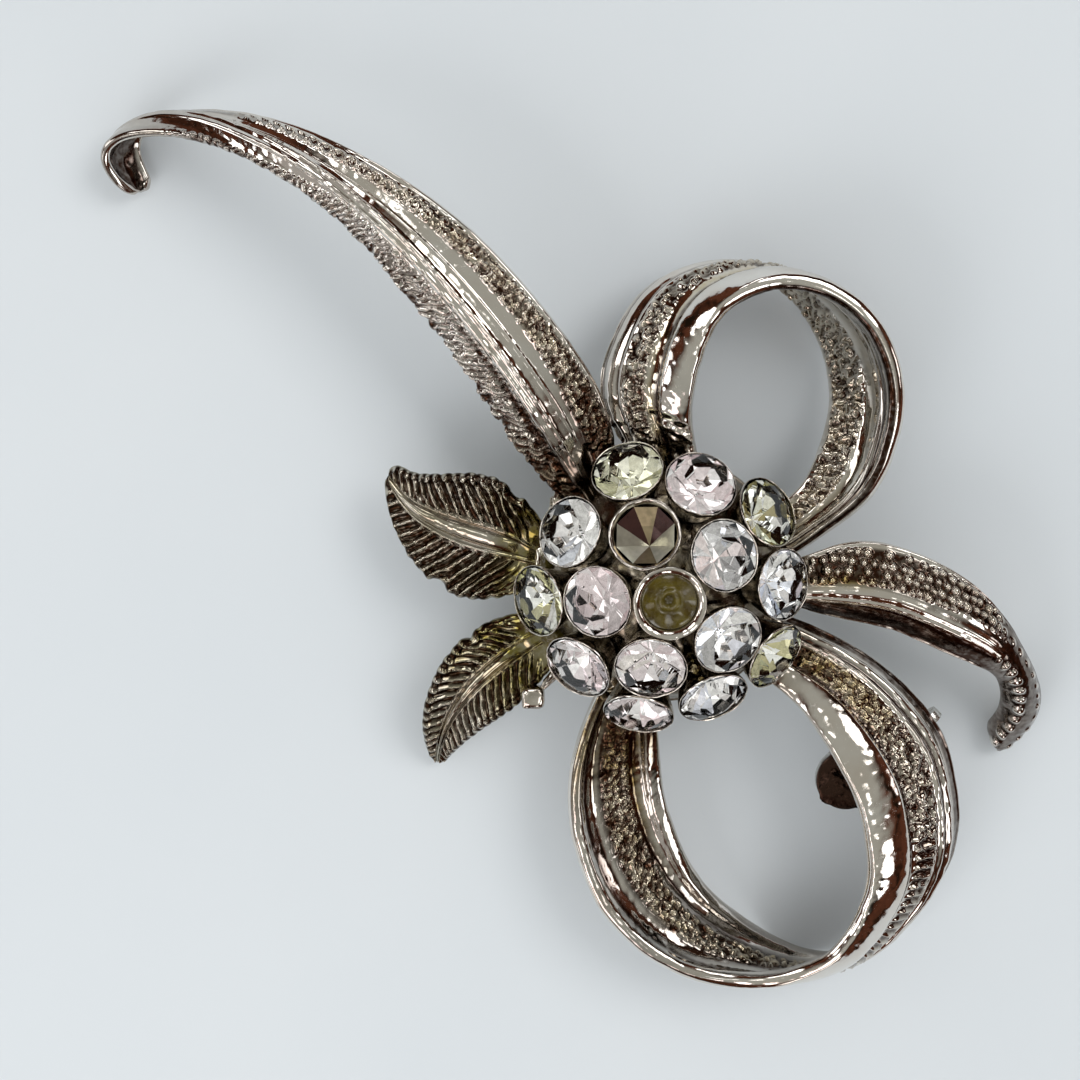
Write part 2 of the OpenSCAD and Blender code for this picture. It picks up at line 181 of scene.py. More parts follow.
def even_places(points, count):
    """Places along the curve that are evenly spaced by length, and the length."""
    fine = np.linspace(0, len(points) - 1, 60 * len(points))
    run = np.linalg.norm(np.diff(catmull(points, fine), axis=0), axis=1)
    length = np.concatenate([[0], np.cumsum(run)])
    return np.interp(np.linspace(0, length[-1], count), length, fine), length[-1]


def eased_line(points, step, reach=1.1):
    """The same line without its small corners: each point is averaged over about reach mm."""
    half = max(1, int(2.5 * reach / step))
    weight = np.exp(-0.5 * (np.arange(-half, half + 1) * step / reach) ** 2)
    before = 2 * points[0] - points[half:0:-1]
    after = 2 * points[-1] - points[-2:-half - 2:-1]
    padded = np.vstack([before, points, after])
    smooth = [np.convolve(padded[:, axis], weight / weight.sum(), "valid") for axis in range(3)]
    return np.stack(smooth, -1)


def unit(v):
    return v / np.maximum(np.linalg.norm(v, axis=-1, keepdims=True), 1e-12)


# ---- mesh making

# A part is (points in mm, faces, tones). Its tones are each point's darkening and stain, for the plating.
# The darkening is soiling in the hollows, and in places painted shade and painted reflection


def new_object(name, data):
    obj = bpy.data.objects.new(name, data)
    bpy.context.scene.collection.objects.link(obj)
    return obj


def body_of(node):
    """The body that holds a CAD node. What stands for no node is on the brooch."""
    for body, members in frame["record"]["behaviour"]["bodies"].items():
        if node in members:
            return body
    return "brooch"


NO_TONES = np.zeros((0, 0))


def make_piece(name, node, part, slot_name, smooth=True, mats=None, face_mats=None):
    """A piece that stands for a CAD node, or for none, and rides on that node's body."""
    verts, faces, tones = part
    mesh = bpy.data.meshes.new(name)
    mesh.from_pydata([tuple(v) for v in (np.asarray(verts) + ORIGIN_SHIFT) * MM], [], faces)
    for key, values in zip(("grime_and_shade", "stain"), np.transpose(tones)):
        layer = mesh.attributes.new(key, "FLOAT", "POINT")
        layer.data.foreach_set("value", values.astype(np.float32))
    mesh.polygons.foreach_set("use_smooth", [smooth] * len(mesh.polygons))
    obj = new_object(name, mesh)
    for mat in mats or [finishes[slot_name]]:
        mesh.materials.append(mat)
    if face_mats is not None:
        mesh.polygons.foreach_set("material_index", face_mats)
    mesh.update()
    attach(obj, body_of(node))
    face_outwards(mesh)
    if node:
        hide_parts(node)
    return obj


def face_outwards(mesh):
    """Turns all faces of a closed mesh outwards."""
    bm = bmesh.new()
    bm.from_mesh(mesh)
    bmesh.ops.recalc_face_normals(bm, faces=bm.faces)
    bm.to_mesh(mesh)
    bm.free()


def skin_faces(rows, around):
    """Quads between rows of points that each run right round, and fans to the two points after them."""
    i, k = np.meshgrid(np.arange(rows - 1), np.arange(around), indexing="ij")
    p = i * around + k
    q = i * around + (k + 1) % around
    quads = np.stack([p, q, q + around, p + around], -1).reshape(-1, 4).tolist()
    first, last = rows * around, rows * around + 1
    start = (rows - 1) * around
    fans = [[(k + 1) % around, k, first] for k in range(around)]
    return quads + fans + [[start + k, start + (k + 1) % around, last] for k in range(around)]


def moved(part, place):
    """The same part with its points moved by the function place."""
    verts, faces, tones = part
    return place(verts), faces, tones


def joined(*parts):
    """Several parts as one."""
    faces, count = [], 0
    for verts, own, _ in parts:
        faces += [[i + count for i in face] for face in own]
        count += len(verts)
    return np.vstack([part[0] for part in parts]), faces, np.vstack([part[2] for part in parts])


class Sweep:
    """Rows of a ribbon or leaf along its stations, in mm."""

    def __init__(self, stations, rows):
        st = np.reshape(np.asarray(stations, float), (len(stations), -1, 3))
        places, self.length = even_places((st[:, 0] + st[:, -1]) / 2, rows)
        step = self.length / (rows - 1)
        a, b = (eased_line(catmull(st[:, k], places), step) for k in (0, -1))
        self.centre = (a + b) / 2
        self.across = (a - b) / 2
        self.up = unit(np.cross(self.across, np.gradient(self.centre, axis=0)))
        self.half_w = np.linalg.norm(self.across, axis=1)[:, None]
        self.s = np.linspace(0, self.length, rows)[:, None]
        self.rise = 0
        if st.shape[1] == 3:
            middle = eased_line(catmull(st[:, 1], places), step)
            rise = np.sum((middle - self.centre) * self.up, axis=1)
            self.rise = rise[:, None]

    def surface(self, v, section, wave, close):
        """Points and unit normals of the plain shape at the places v across."""
        x = v * close * (1 + wave)
        lift = section(self.s, v) + self.rise * (1 - v * v)
        across, up = self.across[:, None], self.up[:, None]
        p = self.centre[:, None] + across * x[..., None] + up * lift[..., None]
        n = unit(np.cross(np.gradient(p, axis=1), np.gradient(p, axis=0)))
        return p, n if np.sum(n * up) >= 0 else -n


def across_places(count):
    """Places from -1 to 1 that are closer together near both edges."""
    line = np.linspace(-1, 1, count)
    return np.sign(line) * (1 - (1 - np.abs(line)) ** 1.3)


THICK, END_REACH, NARROWEST = 0.5, 0.3, 0.1


def sweep_piece(name, node, stations, face, back, section, wave, counts, slot_name, tip):
    """A closed ribbon or leaf, narrowed over tip mm at its end.

    face and back give (height, cavity, stain) at (s along, v across, half width), and counts holds
    the rows, the columns in front and the columns behind.
    """
    rows, cols, back_cols = counts
    sw = Sweep(stations, rows)
    left = sw.length - sw.s
    close = np.maximum(round_top((1 - np.clip(left / tip, 0, 1)) ** 2), NARROWEST)
    end = round_top((1 - np.clip(left / END_REACH, 0, 1)) ** 2)
    front = across_places(cols)[None, :]
    behind = across_places(back_cols + 2)[None, ::-1][:, 1:-1]
    points, tones = [], []
    for v, side, ornament in ((front, 1, face), (behind, -1, back)):
        p, n = sw.surface(v, section, wave(sw.s, v), close)
        h, *marks = ornament(sw.s, v, sw.half_w)
        rim = np.clip((np.abs(v) - 1) * sw.half_w / (THICK / 2) + 1, 0, 1)
        points.append(p + n * (side * (THICK / 2 + h) * round_top(rim**2) * end)[..., None])
        tones.append(np.stack([np.clip(mark, 0, 1) + 0 * h for mark in marks], -1))
    ring, tones = np.concatenate(points, axis=1), np.concatenate(tones, axis=1)
    verts = np.vstack([ring.reshape(-1, 3), ring[0].mean(0), ring[-1].mean(0)])
    tones = np.vstack([tones.reshape(-1, 2), np.full((2, 2), 0.5)])
    make_piece(name, node, (verts, skin_faces(rows, ring.shape[1]), tones), slot_name)


# ---- ribbons and leaves


def rope_band(s, y, seed, size=0.42):
    """Granular band: beads of two sizes with wandering cords between them, about 0 to 1."""
    wob = 0.25 * mottle(s, y, 1.3, seed)
    big = grains(s / size + wob, y / size, seed, 0.8)
    small = grains(s / (0.55 * size), y / (0.55 * size) + wob, seed + 9, 0.7)
    cords = bump(np.abs(noise(s / 0.55, y / 0.5, seed + 20)), 0, 0.4)
    return np.clip(0.75 * big + 0.3 * small + 0.35 * cords, 0, 1.15)


def strokes(s, y, seed, pitch=0.5):
    """Thin wavy strokes that slant across a flank and break off at random, about 0 to 1."""
    turn = (s + y) / pitch + 0.5 * noise(s / 0.6, y / 0.4, seed)
    broken = smoothstep(noise(s / 0.5, y / 0.35, seed + 5), -0.6, 0.1)
    return smoothstep(ridge(turn), 0.14, 0.62) * (0.2 + 0.8 * broken)


def rungs(s, y, seed, pitch):
    """Even rungs across a band, each with a worn and uneven crest."""
    turn = s / pitch + 0.1 * noise(s / 2, y / 0.5, seed)
    return smoothstep(ridge(turn), 0.25, 0.9) * (0.75 + 0.25 * mottle(s, y, 0.3, seed + 3))


def cast_skin(s, y, seed):
    """The slight unevenness that casting and plating leave on smooth metal, in mm."""
    return 0.026 * mottle(s, y, 1.1, seed) + 0.013 * mottle(s, y, 0.36, seed + 1)


def near_hub(s, reach):
    """1 at the cluster and 0 beyond reach mm along the ribbon."""
    return 1 - smoothstep(s, 0.15 * reach, reach)


LINK_PITCH = 0.78


def long_tail_face(s, v, w):
    """Rope that turns into a chain, two crests, and a hatched flank along the ragged edge."""
    y = v * w
    far = smoothstep(s, 15, 26)
    gone = 1 - smoothstep(s, 32.5, 36.5)
    root = near_hub(s, 7)
    rope = within(v, 0.34 + 0.14 * smoothstep(s, 4, 12), 0.86 - 0.12 * far)
    beads = rope_band(s, y, 11)
    along, off = off_middle(s / LINK_PITCH) * LINK_PITCH / 0.33, (y - 0.6 * w) / 0.28
    chain = 1.1 * bump(np.hypot(along, off), 0.95, 0.5) + 0.1 * beads
    band = rope * blend(beads, chain, far) * (1 - smoothstep(s, 28.5, 32.5))
    flank = within(v, -1.05, -0.44 - 0.36 * smoothstep(s, 23, 30)) * gone
    hatch = flank * strokes(s, y, 31)
    worn = 0.75 + 0.25 * mottle(s, y, 0.4, 41) * gone
    crest = bumps(v, (1, -0.14, 0.06), (0.9, -0.3, 0.08))
    gutter = bump(v, -0.47, 0.12) * near_hub(s, 22)
    h = (
        0.1 * bump(v, 0.94, 0.1)
        + 0.22 * band
        + 0.09 * bump(v, 0.12, 0.05) * (1 - root)
        + 0.2 * crest * worn * (1 - 0.6 * smoothstep(s, 34, 38)) * (1 - 0.8 * near_hub(s, 9))
        + 0.23 * hatch
        - 0.16 * gutter
        + cast_skin(s, y, 51)
        + 0.2 * near_hub(s, 9) * noise(s / 0.9, y / 0.7, 61)
    )
    low = rope * gone * (1 - band) * (1 - 0.5 * far)
    low = low + flank * (1 - hatch) * (0.6 + 0.5 * smoothstep(-v, 0.68, 0.96))
    low = low + 0.42 * smoothstep(s, 29, 37) * (0.7 + 0.3 * noise(s / 1.6, y / 0.5, 42))
    low = low + 0.5 * near_hub(s, 12) + 0.9 * gutter + 0.35 * root
    return h, low, rope * (0.4 - 0.3 * far) + 0.35 * root + 0.25 * flank * near_hub(s, 12)


def long_tail_wave(s, v):
    """The lower edge is ragged, with notches, up to the curl."""
    gone = 1 - smoothstep(s, 34, 38)
    ragged = 0.035 * noise(s / 0.33, 0 * s, 71) - 0.05 * bump(noise(s / 0.5, 0 * s, 72), 0.7, 0.5)
    upper = 0.006 * noise(s / 0.8, 0 * s, 73) * smoothstep(v, 0.6, 1.0)
    return ragged * gone * smoothstep(-v, 0.6, 1.0) + upper


def long_tail_section(s, v):
    """Roof-shaped, and plainly crowned in the curl."""
    roof = 0.6 * (1 - v * v) + bumps(v, (0.2, -0.24, 0.42), (-0.1, 0.2, 0.36))
    return blend(roof, 0.45 * (1 - v * v), smoothstep(s, 36, 40))


def plain_back(s, v, w):
    """Back of a cast ribbon: shallow dimples and a thin raised rim."""
    y = v * w
    dimples = 0.05 * mottle(s, y, 0.8, 81) + 0.03 * mottle(s, y, 0.3, 82)
    h = dimples + 0.1 * bump(np.abs(v), 0.92, 0.12) - 0.06
    return h, 0.45 + 0.3 * mottle(s, y, 1.7, 83), 0.25 + 0.2 * mottle(s, y, 3, 84)


def curl_back(s, v, w):
    """Inside of the long tail: rough up to the curl, and smooth in it, where its middle is painted dark
    as shade and its edges stay pale.
    """
    h, grime_and_shade, stain = plain_back(s, v, w)
    curl = smoothstep(s, 35, 39)
    edge = smoothstep(np.abs(v), 0.66, 0.86)
    inside = 0.1 * edge - 0.08 * (1 - v * v) + cast_skin(s, v * w, 85)
    # Painted shade: in the curl the middle of the inside is painted dark and its edges are left pale
    return blend(h, inside, curl), blend(grime_and_shade, 0.9 - 0.85 * edge, curl), stain * (1 - curl)


def upper_loop_face(s, v, w):
    """Rope between thin rails, and a smooth tube along the inner edge."""
    y = v * w
    rope = within(v, -0.4, 0.03) * smoothstep(s, 1, 3)
    beads = rope_band(s, y, 111)
    tube = within(v, 0.34, 1.1, 0.06) * round_top(((v - 0.69) / 0.38) ** 2)
    h = 0.42 * tube + 0.24 * rope * beads + cast_skin(s, y, 113)
    h = h + bumps(v, (0.1, -0.95, 0.08), (0.17, -0.7, 0.2), (-0.07, 0.17, 0.16))
    h = h + 0.13 * bump(v, -0.46, 0.06) * (0.8 + 0.2 * noise(s / 0.5, y, 112))
    h = h + 0.2 * near_hub(s, 7) * mottle(s, y, 0.45, 114)
    low = rope * (1 - beads) + bumps(v, (0.85, 0.3, 0.09), (0.6, -0.86, 0.08), (0.6, -0.53, 0.06))
    low = low + 0.6 * near_hub(s, 8) * (0.6 + 0.4 * noise(s / 0.6, y / 0.5, 115))
    return h, low, 0.3 * rope + 0.55 * bump(v, 0.17, 0.18) + 0.3 * near_hub(s, 5)


def upper_loop_back(s, v, w):
    """Inside of the ring, which shows on its right leg."""
    y = v * w
    rope = within(v, -0.93, -0.12)
    beads = np.maximum(rope_band(s, y, 121, 0.6), 0.8 * rungs(s + 0.5 * y, y, 122, 0.95))
    h = 0.3 * rope * beads + cast_skin(s, y, 123) - 0.04
    h = h + bumps(v, (-0.1, 0.16, 0.26), (0.14, 0.48, 0.1), (0.2, 0.84, 0.26))
    low = rope * (1 - beads) + bumps(v, (0.45, 0.16, 0.26), (0.7, 0.64, 0.1))
    # Painted reflection: outwards from the middle rail the inside face is painted darker, darkest on the
    # rim, as a dark room mirrored in it
    low = low + 0.75 * smoothstep(v, 0.84, 0.95)
    low = low + 0.5 * smoothstep(v, 0.42, 0.56) * (0.65 + 0.35 * noise(s / 2.2, y / 0.6, 124))
    return h, low, 0.3 * rope + 0.35 * bump(v, 0.16, 0.3) + 0.3 * smoothstep(s, 32, 40)


def lower_loop_face(s, v, w):
    """Rope that turns into a ladder, two rails, and a smooth tube along the inner edge."""
    y = v * w
    ladder = smoothstep(s, 15.5, 18)
    rope = within(v, -0.37 + 0.06 * ladder, 0.18 - 0.1 * ladder)
    beads = blend(rope_band(s, y, 131), rungs(s, y + 0.1, 132, 0.62), ladder)
    rails = bumps(v, (1, -0.47, 0.08), (0.9, -0.66, 0.1))
    tube = within(v, 0.23, 1.1) * round_top(((v - 0.63) / 0.43) ** 2)
    root = near_hub(s, 5)
    h = 0.45 * tube + 0.27 * rope * beads + 0.12 * bump(v, -0.96, 0.07) + cast_skin(s, y, 134)
    h = h + 0.26 * rails * (0.75 + 0.25 * noise(s / 0.5, y, 133)) + 0.1 * root * mottle(s, y, 0.6, 135)
    low = rope * (1 - beads) + bumps(v, (0.9, 0.21, 0.07), (0.8, -0.56, 0.07))
    # Painted reflection: the smooth band inside the outer edge is painted dark, as a dark room mirrored
    # in it
    low = low + 0.85 * within(v, -0.95, -0.78)
    low = low + 0.6 * near_hub(s, 6) * (0.7 + 0.3 * noise(s / 0.9, y / 0.5, 136))
    return h, low, rope * (0.85 - 0.65 * smoothstep(s, 4, 13)) + 0.3 * root


def lower_loop_back(s, v, w):
    """Inside of the ring, which shows on its left leg."""
    y = v * w
    rope = within(v, -0.3, 0.26)
    beads = rope_band(s, y, 141, 0.5)
    h = 0.28 * rope * beads + cast_skin(s, y, 143) - 0.04
    h = h + bumps(v, (0.2, 0.84, 0.18), (-0.1, 0.48, 0.2), (-0.1, -0.46, 0.16), (0.24, -0.8, 0.22))
    low = rope * (1 - beads) + bumps(v, (0.55, 0.3, 0.1), (0.6, -0.44, 0.16), (0.6, 0.66, 0.1))
    low = low + 0.22 + 0.15 * noise(s / 1.6, y / 0.8, 144) + 0.55 * smoothstep(s, 46, 53)
    stain = 0.5 * rope + 0.95 * bump(v, -0.44, 0.22) * smoothstep(s, 36, 48)
    return h, low, stain + 0.9 * smoothstep(s, 46, 54)


def short_tail_face(s, v, w):
    """Beads above a smooth flank painted dark as a reflection, and two rows of beads round the hook."""
    y = v * w
    hook = smoothstep(s, 13.5, 15.5)
    plain = 1 - hook
    root = near_hub(s, 4)
    rope = within(v, -0.84, -0.06 - 0.14 * smoothstep(s, 9, 13)) * plain
    beads = grains(s / 0.58, y / 0.58, 151, 0.92, 0.16, 0.34)
    # The hook's beads are further apart along its inner side
    inner = v > 0
    pitch, long = np.where(inner, 0.92, 0.8), np.where(inner, 0.3, 0.26)
    turn = s / pitch + 0.35 * inner + 0.15 * noise(s / 1.1, 2.0 * inner, 156)
    along, off = off_middle(turn) * pitch / long, (np.abs(v) - 0.48) * w / 0.22
    braid = round_top(along**2 + off**2) * hook * (0.75 + 0.25 * mottle(s, y, 0.4, 157))
    flank = within(v, 0.44, 0.92, 0.03) * plain
    h = (
        0.1 * bump(v, -0.95, 0.09)
        + 0.28 * rope * beads * (1 - 0.4 * root)
        + bumps(v, (0.14, 0.18, 0.2), (0.09, 0.38, 0.06), (0.12, 0.96, 0.07)) * plain
        + 0.15 * braid
        + cast_skin(s, y, 152) * (1 - 0.6 * flank)
        + 0.1 * root * mottle(s, y, 0.6, 153)
    )
    # Painted reflection: the smooth flank is painted dark brown, as a dark room mirrored in it. The hook
    # is darkened all over but for its beads, and between the beads of the band the darkening is soiling
    low = rope * (1 - beads) + 1.1 * flank + 0.8 * hook * (1 - 1.2 * braid)
    low = low + 0.5 * bump(v, 0.0, 0.06) * plain
    return h, low, 0.95 * bump(s, 4, 3.5) * bump(v, -0.12, 0.3) + 0.25 * rope


RIB_PITCH = 0.74


def leaf_face(first_rib, seed, gold_reach):
    """Ornament of a leaf: fine ribs that leave the midrib towards the tip."""

    def ornament(s, v, w):
        y, out = v * w, np.abs(v)
        turn = (s - 0.75 * out * w) / RIB_PITCH + first_rib + 0.2 * noise(s / 1.2, y / 1.5, seed)
        rib = smoothstep(ridge(turn), 0.34, 0.9) * smoothstep(out, 0.2, 0.3)
        worn = 0.7 + 0.3 * mottle(s, y, 0.45, seed + 1)
        midrib = 1.3 * round_top((v / 0.12) ** 2) * smoothstep(s, 2, 4) + 0.8 * bump(out, 0.2, 0.06)
        keep = smoothstep(s, 1.5, 3.0)
        h = 0.31 * rib * worn * keep + 0.18 * midrib + 0.1 * bump(out, 0.95, 0.1)
        low = smoothstep(out, 0.18, 0.28) * (1 - rib) * keep + 0.8 * bump(out, 0.13, 0.03)
        gold = 1 - smoothstep(s, 0.35 * gold_reach, gold_reach)
        stain = 0.9 * gold + 0.25 * low + 0.2 * mottle(s, y, 1.1, seed + 4)
        return h + cast_skin(s, y, seed + 2) - 0.06, 0.2 + 0.9 * low, stain

    return ornament


def leaf_wave(notches, seed):
    """Scalloped edge of a leaf, with deeper notches at the places (s, side)."""

    def wave(s, v):
        side = np.sign(v)
        scallop = 0.03 * np.abs(np.sin(s * math.pi / RIB_PITCH)) + 0.015 * noise(s / 0.5, side, seed)
        cut = sum(depth * bump(s, at, 0.7) * (side == edge) for at, edge, depth in notches)
        return (scallop - 0.03 - cut) * smoothstep(np.abs(v), 0.45, 1.0)

    return wave


def plain_wave(seed):
    """Slightly uneven edges."""

    def wave(s, v):
        return 0.008 * noise(s / 0.9, np.sign(v), seed) * smoothstep(np.abs(v), 0.6, 1.0)

    return wave


def crowned(rise, fold=1.0, drop=0.0):
    """A section that rises in the middle, and folds down by drop from the place fold to that edge."""
    side = math.copysign(1, fold)

    def section(s, v):
        return rise * (1 - v * v) - drop * smoothstep(side * v, abs(fold), 1.15) + 0 * s

    return section


def build_ribbons():
    """Rows hold name, node, stations, face, back, section, wave and the counts of rows and columns."""
    ribbons = [
        ("tail_long", "long_tail", LONG_TAIL, long_tail_face, curl_back,
         long_tail_section, long_tail_wave, (620, 84, 36)),
        ("loop_upper", "upper_loop", UPPER_LOOP, upper_loop_face, upper_loop_back,
         crowned(0.45, -0.6, 0.4), plain_wave(201), (600, 76, 66)),
        ("loop_lower", "lower_loop", LOWER_LOOP, lower_loop_face, lower_loop_back,
         crowned(0.45, -0.6, 0.5), plain_wave(202), (640, 78, 68)),
        ("tail_short", "short_tail", SHORT_TAIL, short_tail_face, plain_back,
         crowned(0.5, 0.36, 0.8), plain_wave(203), (300, 72, 36)),
    ]
    leaves = [
        ("leaf_upper", "upper_leaf", UPPER_LEAF, leaf_face(0.0, 211, 5.0), plain_back,
         crowned(0.0), leaf_wave([(3.3, 1, 0.1), (6.2, -1, 0.12)], 212), (190, 110, 50)),
        ("leaf_lower", "lower_leaf", LOWER_LEAF, leaf_face(0.4, 221, 8.5), plain_back,
         crowned(0.0), leaf_wave([(4.4, 1, 0.12)], 222), (200, 100, 50)),
    ]
    for row in ribbons:
        sweep_piece(*row, "ribbon_metal", tip=0.8)
    for row in leaves:
        sweep_piece(*row, "leaf_metal", tip=0.6)


# ---- cluster

RIM_SPHERE_R = 10.2
DOME_Z = 2.3
DOME_R = 8.0
DOME_WALL = 0.8
HUB_TOP = 5.2
STONE_R = 2.0
# Each cup's azimuth and tilt about the dome's middle, in degrees
CUP_PLACES = [
    (0, 0), (110, 24), (40, 24), (-34, 24), (-104, 24), (-179, 24),
    (108, 48), (74, 42), (39, 48), (5, 42), (-31, 48),
    (-66, 42), (-102, 48), (-140, 42), (-176, 48), (147, 42),
]
GLUE_CUP, FOIL_CUP = 0, 1
OUTER_TILT = 30
CUP_SEGS, DISC_SEGS = 96, 160
SEED, FOIL_FACETS, SLACK, GIRDLE_DROP = 7, 24, 0.03, 0.17


def rot_y(deg):
    c, s = math.cos(math.radians(deg)), math.sin(math.radians(deg))
    return np.array([[c, 0, s], [0, 1, 0], [-s, 0, c]])


def rot_z(deg):
    c, s = math.cos(math.radians(deg)), math.sin(math.radians(deg))
    return np.array([[c, -s, 0], [s, c, 0], [0, 0, 1]])


def at_cup(i):
    """Moves points from a cup's own frame, with z along its axis and 0 at its rim."""
    azimuth, tilt = CUP_PLACES[i]

    def place(verts):
        p = np.asarray(verts, float) + np.array([0, 0, RIM_SPHERE_R])
        return p @ (rot_z(azimuth) @ rot_y(tilt)).T + np.array([0, 0, DOME_Z])

    return place


def revolve(profile, segs, wobble=None):
    """A closed solid of revolution. profile holds (r, z, cavity, stain), from the axis to the axis."""
    prof = np.asarray(profile, float)
    turn = np.linspace(0, 2 * math.pi, segs, endpoint=False)[None, :]
    r, z = prof[1:-1, 0:1] + 0 * turn, prof[1:-1, 1:2] + 0 * turn
    if wobble:
        dr, dz = wobble(turn, r, z)
        r, z = r + dr, z + dz
    rings = np.stack([r * np.cos(turn), r * np.sin(turn), z], -1)
    verts = np.vstack([rings.reshape(-1, 3), [0, 0, prof[0, 1]], [0, 0, prof[-1, 1]]])
    tones = np.vstack([np.repeat(prof[1:-1, 2:], segs, axis=0), prof[[0, -1], 2:]])
    return verts, skin_faces(len(prof) - 2, segs), tones


def smooth_profile(points, per=4):
    """The same profile with a smooth curve through its points."""
    p = np.asarray(points, float)
    out = catmull(p, np.linspace(0, len(p) - 1, per * (len(p) - 1) + 1))
    out[:, 0] = np.maximum(out[:, 0], 0)
    out[0], out[-1] = p[0], p[-1]
    return out


def disc_noise(turn, r, size, seed):
    """Noise over a disc, at the radius r."""
    return mottle(r * np.cos(turn), r * np.sin(turn), size, seed)


def rim_wobble(seed, flare):
    """Uneven hand-finished rim: the wall strays more towards the top."""

    def wobble(turn, r, z):
        high = smoothstep(z, -1.2, -0.05)
        slow = noise(2.2 * np.cos(turn) / 1.6 + seed, 2.2 * np.sin(turn) / 1.6, seed)
        quick = disc_noise(turn, 2.2, 0.45, seed + 1)
        dr = high * smoothstep(r, 1.7, 2.0) * (0.035 * slow + 0.02 * quick + flare)
        return dr, -high * (0.06 * np.abs(slow) + 0.035 * np.abs(quick))

    return wobble


def cup_profile(kind):
    outer = [
        (0, -2.2, 1, 0.6), (1.0, -2.26, 0.9, 0.6), (1.3, -2.3, 0.85, 0.6), (1.52, -1.8, 0.75, 0.5),
        (1.76, -1.2, 0.55, 0.35), (1.95, -0.7, 0.35, 0.25), (2.04, -0.42, 0.2, 0.15),
        (2.09, -0.2, 0.12, 0.05), (2.1, -0.08, 0, 0), (2.075, -0.01, 0, 0),
    ]
    inner = {
        "stone": [(2.045, -0.02, 0, 0), (2.02, -0.08, 0.4, 0.2), (2.01, -0.2, 1, 0.3),
                  (1.2, -1.15, 1, 0.3), (0.4, -1.93, 1, 0.3), (0, -1.97, 1, 0.3)],
        "foil": [(2.0, -0.01, 0, 0), (1.92, -0.08, 0.1, 0), (1.8, -0.26, 0.45, 0.1),
                 (1.76, -0.42, 0.9, 0.3), (1.2, -0.98, 1, 0.3), (0.4, -1.68, 1, 0.3), (0, -1.75, 1, 0.3)],
        "glue": [(2.0, -0.01, 0, 0), (1.86, -0.05, 0, 0), (1.72, -0.14, 0, 0), (1.63, -0.26, 0.2, 0.1),
                 (1.6, -0.42, 0.8, 0.4), (1.4, -0.8, 1, 0.8), (0.8, -1.4, 1, 0.8), (0, -1.75, 1, 0.8)],
    }[kind]
    return smooth_profile(outer + inner, 3)


def build_cups():
    """The cups of the outer ring flare a little."""
    for i, place in enumerate(CUP_PLACES):
        kind = {GLUE_CUP: "glue", FOIL_CUP: "foil"}.get(i, "stone")
        flare = 0.0 if place[1] < OUTER_TILT else 0.03
        cup = revolve(cup_profile(kind), CUP_SEGS, rim_wobble(300 + 7 * i, flare))
        make_piece(f"setting_{i + 1:02d}", f"cup_{i + 1:02d}", moved(cup, at_cup(i)), "setting_metal")


def circle(r, z, angles):
    return np.stack([r * np.cos(angles), r * np.sin(angles), np.full(len(angles), z)], -1)


def chaton(turn_deg):
    """A round faceted stone about its girdle. Faces come as (face, kind, group)."""
    table_r, table_z, girdle_h, culet_z, waist = 1.08, 0.6, 0.09, -1.68, 0.74

    def ring(r, z, count, offset=0.0):
        return circle(r, z, np.radians(turn_deg) + (np.arange(count) + offset) * 2 * math.pi / count)

    verts = np.vstack([
        ring(table_r, table_z, 8),
        ring(STONE_R, girdle_h, 16),
        ring(STONE_R, 0.0, 16),
        ring(waist * STONE_R, culet_z * (1 - waist * math.cos(math.pi / 8)), 8, 0.5),
        [[0, 0, culet_z]],
    ])
    table, top, low, mid, culet = 0, 8, 24, 40, 48
    faces = [(list(range(8)), 0, 0)]
    for k in range(8):
        before, here, after = (2 * k - 1) % 16, 2 * k, (2 * k + 1) % 16
        faces += [
            ([table + k, table + (k + 1) % 8, top + after], 0, 0),
            ([table + k, top + here, top + before], 0, 0),
            ([table + k, top + after, top + here], 0, 0),
            ([mid + k, low + here, low + after], 1, 8 + 2 * k),
            ([mid + k, low + after, low + (2 * k + 2) % 16], 1, 9 + 2 * k),
            ([culet, mid + (k - 1) % 8, low + here, mid + k], 1, k),
        ]
    for j in range(16):
        faces.append(([top + j, top + (j + 1) % 16, low + (j + 1) % 16, low + j], 0, 0))
    return verts, faces


# The stones' glass, and the foil colours behind it as (colour, share), for each look of stone
GLASS_TINTS = {"clear": (0.97, 0.975, 0.98), "pink": (0.985, 0.965, 0.97), "yellow": (0.97, 0.975, 0.92),
               "dull": (0.94, 0.95, 0.9)}
FOIL_LOOKS = {
    "clear": [((0.98, 0.98, 0.97), 6), ((0.9, 0.9, 0.89), 3), ((0.7, 0.7, 0.7), 1),
              ((0.98, 0.9, 0.89), 1), ((0.86, 0.9, 0.98), 1)],
    "pink": [((0.98, 0.93, 0.935), 4), ((0.98, 0.98, 0.98), 6), ((0.9, 0.8, 0.81), 2),
             ((0.75, 0.69, 0.69), 1), ((0.99, 0.95, 0.9), 1)],
    "yellow": [((0.97, 0.97, 0.86), 4), ((0.98, 0.98, 0.94), 4), ((0.82, 0.82, 0.68), 2),
               ((0.8, 0.86, 0.96), 1)],
    "dull": [((0.86, 0.88, 0.78), 3), ((0.62, 0.6, 0.38), 3), ((0.95, 0.96, 0.96), 3),
             ((0.42, 0.37, 0.2), 2)],
}
STONE_LOOKS = {
    3: "clear", 4: "clear", 5: "pink", 6: "pink", 7: "yellow", 8: "pink", 9: "dull", 10: "clear",
    11: "dull", 12: "clear", 13: "pink", 14: "pink", 15: "dull", 16: "clear",
}


